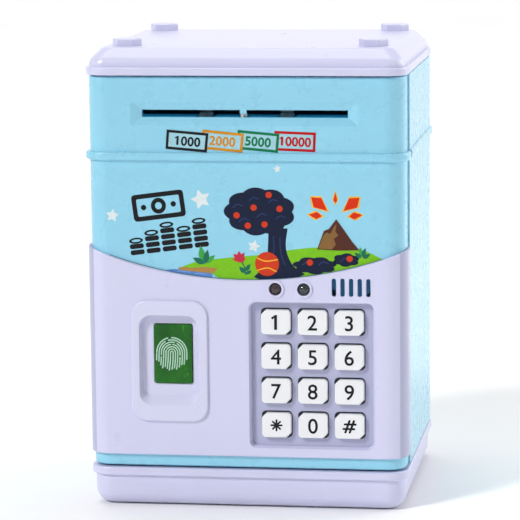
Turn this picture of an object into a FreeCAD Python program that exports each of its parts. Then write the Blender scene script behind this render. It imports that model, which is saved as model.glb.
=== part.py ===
import FreeCAD, Part
import math
import os
import re

import Sketcher
from FreeCAD import Rotation, Vector

# Toy bank shaped like a cash machine, for notes and coins. Millimetres; +X to the right seen from
# the front, +Y to the back, +Z up, origin on the resting plane under the middle of the casing.
# The casing (tray, shell, lid) stays still. The whole front is a door, hinged on its left edge.

SIZES = {
    # casing: half width and back face of the shell, front face of the door
    "half_width": 65.4,
    "front": -57.3,
    "back": 59.1,
    "body_height": 161.6,
    "shell_wall": 2.0,
    "shell_corner": 8.0,
    "shell_setback": 16.3,
    "groove_depth": 0.8,
    "groove_height": 0.5,
    "fit": 0.1,
    # lips of the tray and lid
    "lip_proud": 0.5,
    "lip_front_proud": 1.6,
    "lip_corner": 9.0,
    "lip_round": 0.7,
    # tray
    "tray_height": 12.7,
    "tray_lip": 3.5,
    "tray_inset": 0.9,
    "tray_front_inset": 0.2,
    "tray_round": 6.0,
    "hollow_round": 3.0,
    "floor_thick": 2.2,
    "deck_thick": 2.2,
    "rim_height": 4.5,
    "rim_wall": 1.8,
    "rim_setback": 1.5,
    # lid
    "lid_lip": 3.2,
    "lid_height": 10.8,
    "lid_step": 1.5,
    "lid_slope": 4.9,
    "crown_wall": 2.6,
    "crown_round": 4.2,
    "lid_round": 2.2,
    "crown_corner": 6.5,
    "roof_thick": 2.2,
    "stud_radius": 6.0,
    "stud_height": 3.0,
    "stud_sink": 0.3,
    "stud_inset_side": 14.7,
    "stud_inset_front": 17.6,
    "stud_inset_back": 12.2,
    "stud_edge": 0.6,
    # screws that join the casing
    "post_radius": 3.6,
    "post_inset_side": 13.4,
    "post_front": -32.0,
    "post_inset_back": 13.6,
    "tab_thick": 5.0,
    "tab_reach": 4.5,
    "tab_gap": 0.2,
    "screw_radius": 1.5,
    "screw_head": 2.9,
    "screw_head_thick": 1.8,
    "screw_clear": 0.1,
    "sink_depth": 9.0,
    "lid_screw_length": 15.0,
    # belt that runs round the shell and the door
    "belt_drop": 31.2,
    "belt_height": 3.4,
    "belt_proud": 1.1,
    "belt_front_proud": 1.4,
    "belt_round": 1.0,
    # door
    "door_inset": 0.6,
    "door_gap_low": 0.7,
    "door_gap_high": 0.5,
    "door_gap_back": 0.3,
    "door_wall": 2.0,
    "door_front_wall": 2.2,
    "door_corner": 8.0,
    "door_rear_corner": 2.0,
    "door_round": 0.8,
    "wrap_setback": 2.9,
    "boss_radius": 2.6,
    "boss_inset_side": 11.0,
    "boss_inset_end": 5.5,
    # hinge
    "hinge_inset": 5.4,
    "hinge_depth": 8.0,
    "pin_radius": 1.5,
    "pin_clear": 0.05,
    "pin_reach": 6.2,
    "pin_root": 8.0,
    "bush_radius": 3.4,
    "bush_height": 7.0,
    "socket_radius": 3.5,
    "socket_end": 1.0,
    "lid_pin_end": 0.6,
    # note slot and its bevelled surround
    "slot_drop": 15.5,
    "slot_half": 42.0,
    "slot_height": 3.0,
    "mouth_half": 46.5,
    "mouth_height": 9.4,
    "mouth_depth": 1.6,
    "rib_centre": -0.5,
    "rib_width": 2.7,
    # fascia
    "fascia_low": 5.5,
    "fascia_arc_rise": 8.8,
    "fascia_arc_radius": 174.5,
    "fascia_arc_x": 0.8,
    "fascia_proud": 1.7,
    "fascia_side": 1.2,
    "fascia_round": 0.7,
    "fascia_arc_round": 0.5,
    "stake_radius": 1.2,
    "stake_x": 56.2,
    "stake_low": 11.0,
    "stake_rise": 12.2,
    # keypad well
    "pad_left": 1.3,
    "pad_low": 9.3,
    "pad_margin_left": 4.95,
    "pad_margin_right": 4.25,
    "pad_margin_low": 4.4,
    "pad_margin_high": 3.3,
    "pad_corner": 3.0,
    "pad_draft": 0.9,
    "pad_depth": 3.0,
    "pad_floor": 1.4,
    "pad_wall": 1.2,
    # keys
    "key_width": 12.1,
    "key_height": 10.2,
    "key_space_x": 2.9,
    "key_space_z": 4.0,
    "key_cut": 2.0,
    "key_corner": 1.6,
    "key_round": 0.5,
    "key_gap": 0.3,
    "key_gap_high": 0.55,
    "key_proud": 1.1,
    "key_flange": 1.0,
    "key_flange_thick": 1.0,
    "key_travel": 1.2,
    "part_gap": 0.1,
    # rubber mat and circuit board
    "mat_thick": 0.8,
    "dome_height": 0.8,
    "dome_radius": 2.4,
    "board_thick": 1.6,
    "board_left": -50.0,
    "board_low": 9.3,
    "board_rise": 10.2,
    "board_step": 33.0,
    # lamps
    "lamp_left": 12.4,
    "lamp_right": 24.0,
    "lamp_rise": 5.4,
    "lamp_radius": 2.5,
    "lamp_flange": 2.9,
    "lamp_ring": 3.6,
    "lamp_ring_proud": 0.5,
    "lead_radius": 0.3,
    "lead_spread": 1.27,
    # loudspeaker
    "grille_x": 43.3,
    "grille_rise": 2.6,
    "grille_height": 7.4,
    "grille_width": 1.8,
    "grille_pitch": 3.5,
    "speaker_radius": 9.5,
    "speaker_rise": 10.2,
    "speaker_rim": 1.6,
    "speaker_depth": 4.2,
    "magnet_radius": 6.0,
    # fingerprint bezel and button
    "bezel_left": -47.2,
    "bezel_right": -15.5,
    "bezel_low": 19.7,
    "bezel_high": 69.9,
    "bezel_corner": 6.5,
    "bezel_proud": 1.2,
    "bezel_round": 0.8,
    "bezel_lap": 1.8,
    "scoop_left": -43.9,
    "scoop_right": -19.5,
    "scoop_low": 26.5,
    "scoop_high": 63.8,
    "scoop_corner": 5.0,
    "scoop_depth": 3.3,
    "scoop_draft": 0.8,
    "scoop_ramp": 3.6,
    "scoop_floor": 1.5,
    "button_left": -38.1,
    "button_right": -22.3,
    "button_low": 35.3,
    "button_high": 59.9,
    "button_corner": 1.0,
    "button_round": 0.4,
    "button_proud": 0.8,
    "button_flange": 1.5,
    "button_flange_thick": 1.0,
    "button_travel": 0.8,
    "switch_width": 6.0,
    "switch_body": 2.2,
    "plunger_radius": 1.5,
    # note feed
    "feed_depth": 8.4,
    "feed_drop": 4.9,
    "feed_roller": 4.9,
    "pinch_rise": 4.2,
    "pinch_roller": 3.9,
    "roller_x": 16.6,
    "roller_width": 5.4,
    "roller_window": 0.8,
    "shaft_radius": 1.5,
    "pinch_shaft_radius": 1.2,
    "cheek_gap": 3.0,
    "cheek_thick": 1.5,
    "cheek_low": 19.3,
    "cheek_high": 9.2,
    "guide_plate": 1.4,
    "gear_width": 3.0,
    "gear_teeth": 14,
    "pinion_teeth": 10,
    "gear_module": 0.65,
    "motor_radius": 5.2,
    "motor_length": 20.0,
    "motor_shaft": 1.0,
    # lever that feels a note
    "lever_pivot_drop": 10.3,
    "lever_width": 2.6,
    "lever_thick": 1.6,
    "lever_hub": 1.8,
    "lever_tip_drop": 0.1,
    "lever_depth": 4.5,
    "lever_pin": 1.0,
    "ear_gap": 2.6,
    "ear_thick": 2.0,
    "ear_reach": 2.0,
    # lock
    "lock_inset": 19.4,
    "lock_rise": 32.0,
    "lock_teeth": 10,
    "lock_module": 0.8,
    "lock_gear_width": 3.4,
    "lock_gear_depth": 4.3,
    "lock_motor_radius": 6.0,
    "bolt_length": 28.0,
    "bolt_height": 4.5,
    "bolt_inset": 9.4,
    "bolt_travel": 5.0,
    "rack_teeth": 6,
    "housing_wall": 1.2,
    "housing_low": 9.0,
    "housing_high": 13.0,
    "housing_depth": 9.9,
    "housing_end": 0.4,
    "slide_gap": 0.2,
    "strike_length": 4.8,
    "strike_wall": 1.4,
    "strike_plate": 1.0,
    "strike_gap": 0.4,
    # inner cover and battery box
    "cover_thick": 2.0,
    "exit_half": 44.0,
    "exit_height": 5.0,
    "cell_radius": 7.0,
    "cell_length": 49.5,
    "cell_space": 0.6,
    "cell_nub": 2.7,
    "cell_nub_height": 1.0,
    "cell_low": 24.8,
    "cell_gap": 0.3,
    "cell_centre_x": -26.5,
    "contact_space": 1.6,
    "contact_thick": 0.6,
    "contact_radius": 4.0,
    "box_wall": 1.5,
    "lid_plate": 1.4,
    "lid_tongue": 1.6,
}

TOOTH_TIP = 0.75        # tooth tip above the pitch line, in modules
TOOTH_ROOT = 1.1        # tooth root below the pitch line, in modules
TOOTH_TIP_HALF = 0.26   # half width of a tooth at its tip, in modules
TOOTH_ROOT_HALF = 0.80  # half width of a tooth at its root, in modules
NEAR = 1e-4
OVER = "1"              # how far a cutting shape runs past the piece it cuts

doc = FreeCAD.newDocument("savings_bank")
sheet = doc.addObject("Spreadsheet::Sheet", "sizes")
for row, (alias, size) in enumerate(SIZES.items(), 1):
    sheet.set(f"A{row}", alias)
    sheet.set(f"B{row}", str(size))
    sheet.setAlias(f"B{row}", alias)
doc.recompute()

pieces = []

# Derived levels, as expressions over the sheet.
TRAY_TOP = "(tray_height + tray_lip)"
LID_LOW = f"({TRAY_TOP} + body_height)"
LID_EDGE = f"({LID_LOW} + lid_lip)"
LID_TOP = f"({LID_LOW} + lid_height)"
SHOULDER = f"({LID_EDGE} + crown_wall)"
ROOF = f"({LID_TOP} - roof_thick)"
RIM = "(front + shell_setback)"
LIP_HALF = "(half_width + lip_proud)"
LIP_FRONT = "(front - lip_front_proud)"
LIP_BACK = "(back + lip_proud)"
BELT_LOW = f"({LID_LOW} - belt_drop - belt_height)"
BELT_HIGH = f"({LID_LOW} - belt_drop)"
DOOR_HALF = "(half_width - door_inset)"
DOOR_LOW = f"({TRAY_TOP} + door_gap_low)"
DOOR_HIGH = f"({LID_LOW} - door_gap_high)"
DOOR_BACK = f"({RIM} - door_gap_back)"
DOOR_INNER = "(front + door_front_wall)"
COVER_FRONT = f"({DOOR_BACK} - cover_thick)"
WRAP_END = f"({DOOR_BACK} - wrap_setback)"
RIM_HALF = "(half_width - shell_wall - fit)"
RIM_FRONT = f"({RIM} + rim_setback)"
RIM_BACK = "(back - shell_wall - fit)"
HINGE_X = "(hinge_inset - half_width)"
HINGE_Y = "(front + hinge_depth)"
SLOT_Z = f"({LID_LOW} - slot_drop)"
FASCIA_FRONT = "(front - fascia_proud)"
PAD_RIGHT = "(pad_left + pad_margin_left + 3 * key_width + 2 * key_space_x + pad_margin_right)"
PAD_LOW = f"({TRAY_TOP} + pad_low)"
PAD_HIGH = f"({PAD_LOW} + pad_margin_low + 4 * key_height + 3 * key_space_z + pad_margin_high)"
PAD_FLOOR = f"({FASCIA_FRONT} + pad_depth)"
PAD_BACK = f"({PAD_FLOOR} + pad_floor)"
MAT_FRONT = f"({PAD_BACK} + 2 * part_gap + key_flange_thick + key_travel + dome_height)"
BOARD_FRONT = f"({MAT_FRONT} + mat_thick)"
BOARD_BACK = f"({BOARD_FRONT} + board_thick)"
BEZEL_FRONT = f"({FASCIA_FRONT} - bezel_proud)"
SCOOP_FLOOR = f"({BEZEL_FRONT} + scoop_depth)"
SCOOP_BACK = f"({SCOOP_FLOOR} + scoop_floor)"
FEED_Y = "(front + feed_depth)"
FEED_Z = f"({SLOT_Z} - feed_drop)"
PINCH_Z = f"({SLOT_Z} + pinch_rise)"
CHEEK_IN = "(slot_half + cheek_gap)"
CHEEK_OUT = f"({CHEEK_IN} + cheek_thick)"
GEAR_IN = f"({CHEEK_OUT} + 3 * part_gap)"
MOTOR_Z = f"({FEED_Z} - gear_module * (gear_teeth + pinion_teeth) / 2)"
LOCK_X = "(half_width - lock_inset)"
LOCK_Z = f"({PAD_HIGH} + lock_rise)"
BOLT_FRONT = f"({DOOR_BACK} + lock_gear_depth)"
BOLT_LOW = f"({LOCK_Z} + lock_module * (lock_teeth / 2 + {TOOTH_ROOT}))"
BOLT_TIP = "(half_width - bolt_inset)"
CELL_PITCH = "(2 * cell_radius + cell_space)"
BOX_HALF = f"({CELL_PITCH} + cell_radius + cell_gap + box_wall)"
LAMP_Z = f"({PAD_HIGH} + lamp_rise)"
GRILLE_LOW = f"({PAD_HIGH} + grille_rise)"
GRILLE_HIGH = f"({GRILLE_LOW} + grille_height)"
ARC_LOW = f"({PAD_HIGH} + fascia_arc_rise)"
BOX_BACK = f"({DOOR_BACK} + box_wall + 2 * cell_radius + 2 * cell_gap)"
CELL_Y = f"({DOOR_BACK} + box_wall + cell_radius + cell_gap)"
CELL_LOW = f"({TRAY_TOP} + cell_low)"
CELL_HIGH = f"({CELL_LOW} + cell_length)"


def above(size):
    """Height measured from the top of the tray, where the door's lower half is set out from."""
    return f"({TRAY_TOP} + {size})"


def minus(size):
    return f"(0 - ({size}))"


def bound(text):
    """The expression with each named size looked up in the sheet."""
    return re.sub(r"[a-z]\w*", lambda word: f"sizes.{word.group(0)}" if word.group(0) in SIZES
                  else word.group(0), text)


def value(text):
    return float(sheet.evalExpression(bound(text)))


def bind(item, **expressions):
    for name, text in expressions.items():
        item.setExpression(name.replace("__", "."), bound(text))


def place(item, x="0", y="0", z="0"):
    bind(item, Placement__Base__x=x, Placement__Base__y=y, Placement__Base__z=z)
    return item


def block(name, x, y, z):
    """Box between a low and a high expression along each axis."""
    box = doc.addObject("Part::Box", name)
    bind(box, Length=f"{x[1]} - ({x[0]})", Width=f"{y[1]} - ({y[0]})", Height=f"{z[1]} - ({z[0]})")
    return place(box, x[0], y[0], z[0])


def rod(name, axis, centre, span, radius):
    """Cylinder along an axis; its centre is given along the other two axes, in X, Y, Z order."""
    turns = {"X": Rotation(Vector(0, 1, 0), 90), "Y": Rotation(Vector(1, 0, 0), -90), "Z": Rotation()}
    spots = {"X": (span[0], *centre), "Y": (centre[0], span[0], centre[1]), "Z": (*centre, span[0])}
    cylinder = doc.addObject("Part::Cylinder", name)
    cylinder.Placement.Rotation = turns[axis]
    bind(cylinder, Radius=radius, Height=f"{span[1]} - ({span[0]})")
    return place(cylinder, *spots[axis])


def fuse(name, *solids):
    joined = doc.addObject("Part::MultiFuse", name)
    joined.Shapes = list(solids)
    return joined


def cut(name, base, *tools):
    result = doc.addObject("Part::Cut", name)
    result.Base = base
    result.Tool = tools[0] if len(tools) == 1 else fuse(f"{name}_tools", *tools)
    return result


def sketch_at(body, name, axis, level):
    """Sketch on one of the body's own planes, moved along the axis to a level."""
    role, sign = {"X": ("YZ_Plane", ""), "Y": ("XZ_Plane", "0 - "), "Z": ("XY_Plane", "")}[axis]
    sketch = body.newObject("Sketcher::SketchObject", name)
    plane = next(item for item in body.Origin.OriginFeatures if item.Role == role)
    sketch.AttachmentSupport = (plane, [""])
    sketch.MapMode = "FlatFace"
    sketch.setExpression("AttachmentOffset.Base.z", bound(f"{sign}({level})"))
    return sketch


def constrain(sketch, expression, *terms):
    """One driving constraint whose size is an expression."""
    index = sketch.addConstraint(Sketcher.Constraint(*terms, value(expression)))
    sketch.setExpression(f"Constraints[{index}]", bound(expression))


def draw_rounded(sketch, u, v, radius, far_radius):
    """Rounded rectangle; the first radius is for the corners at low v, the other at high v."""
    (left, right), (low, high) = [[value(text) for text in pair] for pair in (u, v)]
    near, far = value(radius), value(far_radius)
    corners = [(left, low, near, 180), (right, low, near, 270), (right, high, far, 0),
               (left, high, far, 90)]
    ends = []
    for x, y, bend, start in corners:
        centre = Vector(x + bend * (1 if x == left else -1), y + bend * (1 if y == low else -1), 0)
        first = math.radians(start)
        circle = Part.Circle(centre, Vector(0, 0, 1), bend)
        sketch.addGeometry(Part.ArcOfCircle(circle, first, first + math.pi / 2), False)
        ends.append((centre + bend * Vector(math.cos(first), math.sin(first), 0),
                     centre + bend * Vector(-math.sin(first), math.cos(first), 0)))
    for index in range(4):
        sketch.addGeometry(Part.LineSegment(ends[index][1], ends[(index + 1) % 4][0]), False)
    for index in range(4):
        sketch.addConstraint(Sketcher.Constraint("Tangent", index, 2, index + 4, 1))
        sketch.addConstraint(Sketcher.Constraint("Tangent", index + 4, 2, (index + 1) % 4, 1))
    for index, direction in enumerate(("Horizontal", "Vertical", "Horizontal", "Vertical")):
        sketch.addConstraint(Sketcher.Constraint(direction, index + 4))
    sketch.addConstraint(Sketcher.Constraint("Equal", 0, 1))
    sketch.addConstraint(Sketcher.Constraint("Equal", 2, 3))
    constrain(sketch, radius, "Radius", 0)
    constrain(sketch, far_radius, "Radius", 2)
    constrain(sketch, u[0], "DistanceX", -1, 1, 7, 1)
    constrain(sketch, u[1], "DistanceX", -1, 1, 5, 1)
    constrain(sketch, v[0], "DistanceY", -1, 1, 4, 1)
    constrain(sketch, v[1], "DistanceY", -1, 1, 6, 1)


def draw_polygon(sketch, points):
    """Closed polygon whose corners are pairs of expressions."""
    spots = [Vector(value(u), value(v), 0) for u, v in points]
    for index, spot in enumerate(spots):
        sketch.addGeometry(Part.LineSegment(spot, spots[(index + 1) % len(spots)]), False)
    for index, (u, v) in enumerate(points):
        after = (index + 1) % len(points)
        sketch.addConstraint(Sketcher.Constraint("Coincident", index, 2, after, 1))
        constrain(sketch, u, "DistanceX", -1, 1, index, 1)
        constrain(sketch, v, "DistanceY", -1, 1, index, 1)


def pad(body, sketch, axis, span):
    feature = body.newObject("PartDesign::Pad", f"{sketch.Name}_pad")
    feature.Profile = sketch
    bind(feature, Length=f"{span[1]} - ({span[0]})")
    return feature


def plate(name, axis, span, u, v, radius, far_radius=None):
    """Rounded rectangle padded from the low to the high end of its span."""
    body = doc.addObject("PartDesign::Body", name)
    sketch = sketch_at(body, f"{name}_outline", axis, span[1] if axis == "Y" else span[0])
    draw_rounded(sketch, u, v, radius, far_radius or radius)
    pad(body, sketch, axis, span)
    return body


def prism(name, axis, span, points):
    body = doc.addObject("PartDesign::Body", name)
    sketch = sketch_at(body, f"{name}_outline", axis, span[1] if axis == "Y" else span[0])
    draw_polygon(sketch, points)
    pad(body, sketch, axis, span)
    return body


def loft(body, name, axis, *sections):
    """Straight-sided loft through rounded rectangles, each (level, u, v, radius)."""
    sketches = []
    for index, (level, u, v, radius) in enumerate(sections):
        sketch = sketch_at(body, f"{name}_section_{index}", axis, level)
        draw_rounded(sketch, u, v, radius, radius)
        sketches.append(sketch)
    feature = body.newObject("PartDesign::AdditiveLoft", f"{name}_loft")
    feature.Profile = sketches[0]
    feature.Sections = sketches[1:]
    feature.Ruled = True
    return body


def soften(body, size, chosen):
    """Round the edges of a body that the test chooses."""
    doc.recompute()
    base = body.Tip
    feature = body.newObject("PartDesign::Fillet", f"{body.Name}_fillet")
    feature.Base = (base, [f"Edge{index}" for index, edge in enumerate(base.Shape.Edges, 1)
                           if chosen(edge)])
    bind(feature, Radius=size)
    return body


def rounded(name, base, size, chosen):
    """A solid outside a body with its chosen edges rounded; the radius is read from the sheet."""
    doc.recompute()
    result = doc.addObject("Part::Fillet", name)
    result.Base = base
    radius = value(size)
    result.Edges = [(index, radius, radius) for index, edge in enumerate(base.Shape.Edges, 1)
                    if chosen(edge)]
    return result


def lies_at(axis, *levels):
    """Test for edges that lie flat at one of the levels along an axis."""
    heights = [value(level) for level in levels]

    def test(edge):
        low = getattr(edge.BoundBox, f"{axis}Min")
        high = getattr(edge.BoundBox, f"{axis}Max")
        return high - low < NEAR and any(abs(low - height) < NEAR for height in heights)
    return test


def around(text):
    """The low and high ends of a span that is centred on zero."""
    return (minus(text), text)


def finish(label, solid):
    solid.Label = label
    pieces.append(solid)


def rim_ring(name, low, high):
    """Raised rim that stands inside the shell; the cavity is cut from it later."""
    return plate(name, "Z", (low, high), around(RIM_HALF), (RIM_FRONT, RIM_BACK),
                 "shell_corner - shell_wall")


def rim_hollow(name, low, high):
    """Space inside the rim."""
    return plate(name, "Z", (low, high), around(f"({RIM_HALF} - rim_wall)"),
                 (f"{RIM_FRONT} + rim_wall", f"{RIM_BACK} - rim_wall"),
                 "shell_corner - shell_wall - rim_wall")


def post_spots():
    """The four screw positions of the casing, as pairs of expressions."""
    side = "(half_width - post_inset_side)"
    return [(x, y) for x in (minus(side), side) for y in ("post_front", "(back - post_inset_back)")]


def at_posts(name, span, radius):
    return [rod(f"{name}_{index}", "Z", spot, span, radius) for index, spot in enumerate(post_spots())]


def make_base_tray():
    half = "(half_width - tray_inset)"
    tub = plate("tray_tub", "Z", ("0", TRAY_TOP), around(half),
                ("front - tray_front_inset", "back - tray_inset"), "shell_corner")
    soften(tub, "tray_round", lies_at("Z", "0"))
    lip = plate("tray_lip_band", "Z", ("tray_height", TRAY_TOP), around(LIP_HALF), (LIP_FRONT, LIP_BACK),
                "lip_corner")
    soften(lip, "lip_round", lies_at("Z", "tray_height", TRAY_TOP))
    rim = rim_ring("tray_rim", f"{TRAY_TOP} - lip_round", f"{TRAY_TOP} + rim_height")
    hollow = rim_hollow("tray_hollow", "floor_thick", f"{TRAY_TOP} + rim_height + {OVER}")
    soften(hollow, "hollow_round", lies_at("Z", "floor_thick"))
    under_deck = block("tray_under_deck", around(f"({RIM_HALF} - rim_wall)"),
                       (f"{LIP_FRONT} + tray_round", f"{RIM_FRONT} + 2 * rim_wall"),
                       ("floor_thick", f"{TRAY_TOP} - deck_thick"))
    tray = cut("tray_open", fuse("tray_solid", tub, lip, rim), hollow, under_deck)
    posts = at_posts("tray_post", ("floor_thick / 2", f"{TRAY_TOP} + rim_height + tab_gap"), "post_radius")
    socket = rod("tray_socket", "Z", (HINGE_X, HINGE_Y),
                 (f"{TRAY_TOP} - pin_root - socket_end", f"{TRAY_TOP} - deck_thick / 2"), "socket_radius")
    filled = fuse("tray_filled", tray, socket, *posts)
    bore = rod("tray_bore", "Z", (HINGE_X, HINGE_Y), (f"{TRAY_TOP} - pin_root", f"{TRAY_TOP} + {OVER}"),
               "pin_radius")
    holes = at_posts("tray_hole", (f"0 - {OVER}", f"{TRAY_TOP} + rim_height + {OVER}"),
                     "screw_radius + screw_clear")
    sinks = at_posts("tray_sink", (f"0 - {OVER}", "sink_depth"), "screw_head + screw_clear")
    finish("base_tray", cut("tray_drilled", filled, bore, *holes, *sinks))


def make_body_shell():
    skin = plate("shell_skin", "Z", (f"{TRAY_TOP} + groove_height", f"{LID_LOW} - groove_height"),
                 around("half_width"), (f"{RIM} - shell_corner - shell_wall", "back"), "shell_corner")
    seat_half = "(half_width - groove_depth)"
    seat = plate("shell_seat", "Z", (TRAY_TOP, LID_LOW), around(seat_half),
                 (f"{RIM} - shell_corner - shell_wall", "back - groove_depth"),
                 "shell_corner - groove_depth")
    belt = plate("shell_belt", "Z", (BELT_LOW, BELT_HIGH), around("(half_width + belt_proud)"),
                 (f"{RIM} - shell_corner - shell_wall", "back + belt_proud"), "shell_corner + belt_proud")
    soften(belt, "belt_round", lies_at("Z", BELT_LOW, BELT_HIGH))
    inside = plate("shell_inside", "Z", (f"{TRAY_TOP} - {OVER}", f"{LID_LOW} + {OVER}"),
                   around("(half_width - shell_wall)"),
                   (f"{RIM} - 2 * shell_corner - shell_wall", "back - shell_wall"),
                   "shell_corner - shell_wall")
    ahead = block("shell_ahead", around(f"({LIP_HALF} + belt_proud)"), (f"{RIM} - 2 * shell_corner", RIM),
                  ("0", f"{LID_TOP}"))
    walls = cut("shell_walls", fuse("shell_solid", skin, seat, belt), inside, ahead)
    foot_low = f"({TRAY_TOP} + rim_height + tab_gap)"
    head_high = f"({LID_LOW} - rim_height - tab_gap)"
    tabs = []
    for index, (x, y) in enumerate(post_spots()):
        wall = "(half_width - shell_wall / 2)"
        across = (minus(wall), f"{x} + tab_reach") if index < 2 else (f"{x} - tab_reach", wall)
        along = (f"{y} - tab_reach", f"{y} + tab_reach")
        tabs.append(block(f"shell_foot_{index}", across, along, (foot_low, f"{foot_low} + tab_thick")))
        tabs.append(block(f"shell_head_{index}", across, along, (f"{head_high} - tab_thick", head_high)))
    low_holes = at_posts("shell_low_hole", (f"{foot_low} - {OVER}", f"{foot_low} + tab_thick + {OVER}"),
                         "screw_radius")
    high_holes = at_posts("shell_high_hole", (f"{head_high} - tab_thick - {OVER}", f"{head_high} + {OVER}"),
                          "screw_radius + screw_clear")
    finish("body_shell", cut("shell_drilled", fuse("shell_tabbed", walls, *tabs), *low_holes, *high_holes))


def crown_section(level, run):
    """Outline of the lid's crown at a level, drawn in from the lip by the run."""
    return (level, around(f"({LIP_HALF} - {run})"), (f"{LIP_FRONT} + {run}", f"{LIP_BACK} - {run}"),
            "crown_corner")


def crown(body, name, low, high, wall):
    """Rises straight from its foot to the shoulder, then slopes in; the wall is its inset from the outside."""
    foot = f"(lid_step + {wall})"
    slope = f"(lid_slope * ({high} - {SHOULDER}) / ({LID_TOP} - {SHOULDER}) + {foot})"
    loft(body, name, "Z", crown_section(low, foot), crown_section(SHOULDER, foot),
         crown_section(high, slope))


def make_lid():
    lid = plate("lid_band", "Z", (LID_LOW, LID_EDGE), around(LIP_HALF), (LIP_FRONT, LIP_BACK), "lip_corner")
    soften(lid, "lip_round", lies_at("Z", LID_LOW, LID_EDGE))
    crown(lid, "lid_crown", LID_EDGE, LID_TOP, "0")
    soften(lid, "crown_round", lies_at("Z", SHOULDER))
    soften(lid, "lid_round", lies_at("Z", LID_TOP))
    rim = rim_ring("lid_rim", f"{LID_LOW} - rim_height", f"{LID_LOW} + lip_round")
    hollow = rim_hollow("lid_hollow", f"{LID_LOW} - rim_height - {OVER}", LID_EDGE)
    front_hollow = block("lid_front_hollow", around(f"({RIM_HALF} - rim_wall)"),
                         (f"{LIP_FRONT} + rim_height", f"{RIM_FRONT} + 2 * rim_wall"),
                         (f"{LID_LOW} - {OVER}", LID_EDGE))
    crown_hollow = doc.addObject("PartDesign::Body", "lid_crown_hollow")
    wall = f"({LIP_HALF} - lid_step - {RIM_HALF} + rim_wall)"
    crown(crown_hollow, "lid_under", f"({LID_EDGE} - {NEAR})", ROOF, wall)
    shell = cut("lid_open", fuse("lid_solid", lid, rim), hollow,
                fuse("lid_space", front_hollow, crown_hollow))
    posts = at_posts("lid_post", (f"{LID_LOW} - rim_height - tab_gap", f"{ROOF} + roof_thick / 2"),
                     "post_radius")
    socket = rod("lid_socket", "Z", (HINGE_X, HINGE_Y), (LID_LOW, LID_EDGE), "socket_radius")
    studs = []
    for side in (-1, 1):
        for inset in ("(front + stud_inset_front)", "(back - stud_inset_back)"):
            stud = doc.addObject("Part::Prism", f"lid_stud_{len(studs)}")
            stud.Polygon = 6
            bind(stud, Circumradius="stud_radius", Height="stud_height + stud_sink")
            place(stud, f"{side} * (half_width - stud_inset_side)", inset, f"{LID_TOP} - stud_sink")
            studs.append(rounded(f"{stud.Name}_round", stud, "stud_edge",
                                 lies_at("Z", f"{LID_TOP} + stud_height")))
    filled = fuse("lid_filled", shell, socket, *posts, *studs)
    bore = rod("lid_bore", "Z", (HINGE_X, HINGE_Y), (f"{LID_LOW} - {OVER}", f"{LID_EDGE} - lid_pin_end"),
               "pin_radius")
    pilots = at_posts("lid_pilot", (f"{LID_LOW} - rim_height - {OVER}", f"{LID_LOW} + pin_root"),
                      "screw_radius")
    finish("lid", cut("lid_drilled", filled, bore, *pilots))


def make_casing_screws():
    head_high = f"({LID_LOW} - rim_height - tab_gap - tab_thick)"
    base = []
    lid = []
    for index, spot in enumerate(post_spots()):
        tip = f"{TRAY_TOP} + rim_height + tab_gap + tab_thick"
        base.append(rod(f"base_screw_head_{index}", "Z", spot,
                        ("sink_depth - screw_head_thick", "sink_depth"),
                        "screw_head"))
        base.append(rod(f"base_screw_shank_{index}", "Z", spot, ("sink_depth", tip), "screw_radius"))
        lid.append(rod(f"lid_screw_head_{index}", "Z", spot, (f"{head_high} - screw_head_thick", head_high),
                       "screw_head"))
        lid.append(rod(f"lid_screw_shank_{index}", "Z", spot,
                       (head_high, f"{head_high} + lid_screw_length"),
                       "screw_radius"))
    finish("base_screws", fuse("base_screw_group", *base))
    finish("lid_screws", fuse("lid_screw_group", *lid))


def make_hinge_pins():
    centre = (HINGE_X, HINGE_Y)
    finish("hinge_pin_lower", rod("pin_low", "Z", centre,
                                  (f"{TRAY_TOP} - pin_root", f"{TRAY_TOP} + pin_reach"),
                                  "pin_radius"))
    finish("hinge_pin_upper", rod("pin_high", "Z", centre,
                                  (f"{LID_LOW} - pin_reach", f"{LID_EDGE} - lid_pin_end"),
                                  "pin_radius"))


def grown(low, high, size):
    return (f"{low} - ({size})", f"{high} + ({size})")


def door_outline(name, low, high, grow="0", back=DOOR_BACK, far="door_rear_corner"):
    """Plan outline of the door between two levels, grown outwards at the front and sides."""
    return plate(name, "Z", (low, high), around(f"({DOOR_HALF} + {grow})"), (f"front - {grow}", back),
                 f"door_corner + {grow}", far)


def boss_spots():
    """Cover screw positions inside the door's corners."""
    side = "(half_width - boss_inset_side)"
    return [(x, z) for x in (minus(side), side)
            for z in (f"({DOOR_LOW} + boss_inset_end)", f"({DOOR_HIGH} - boss_inset_end)")]


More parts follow.
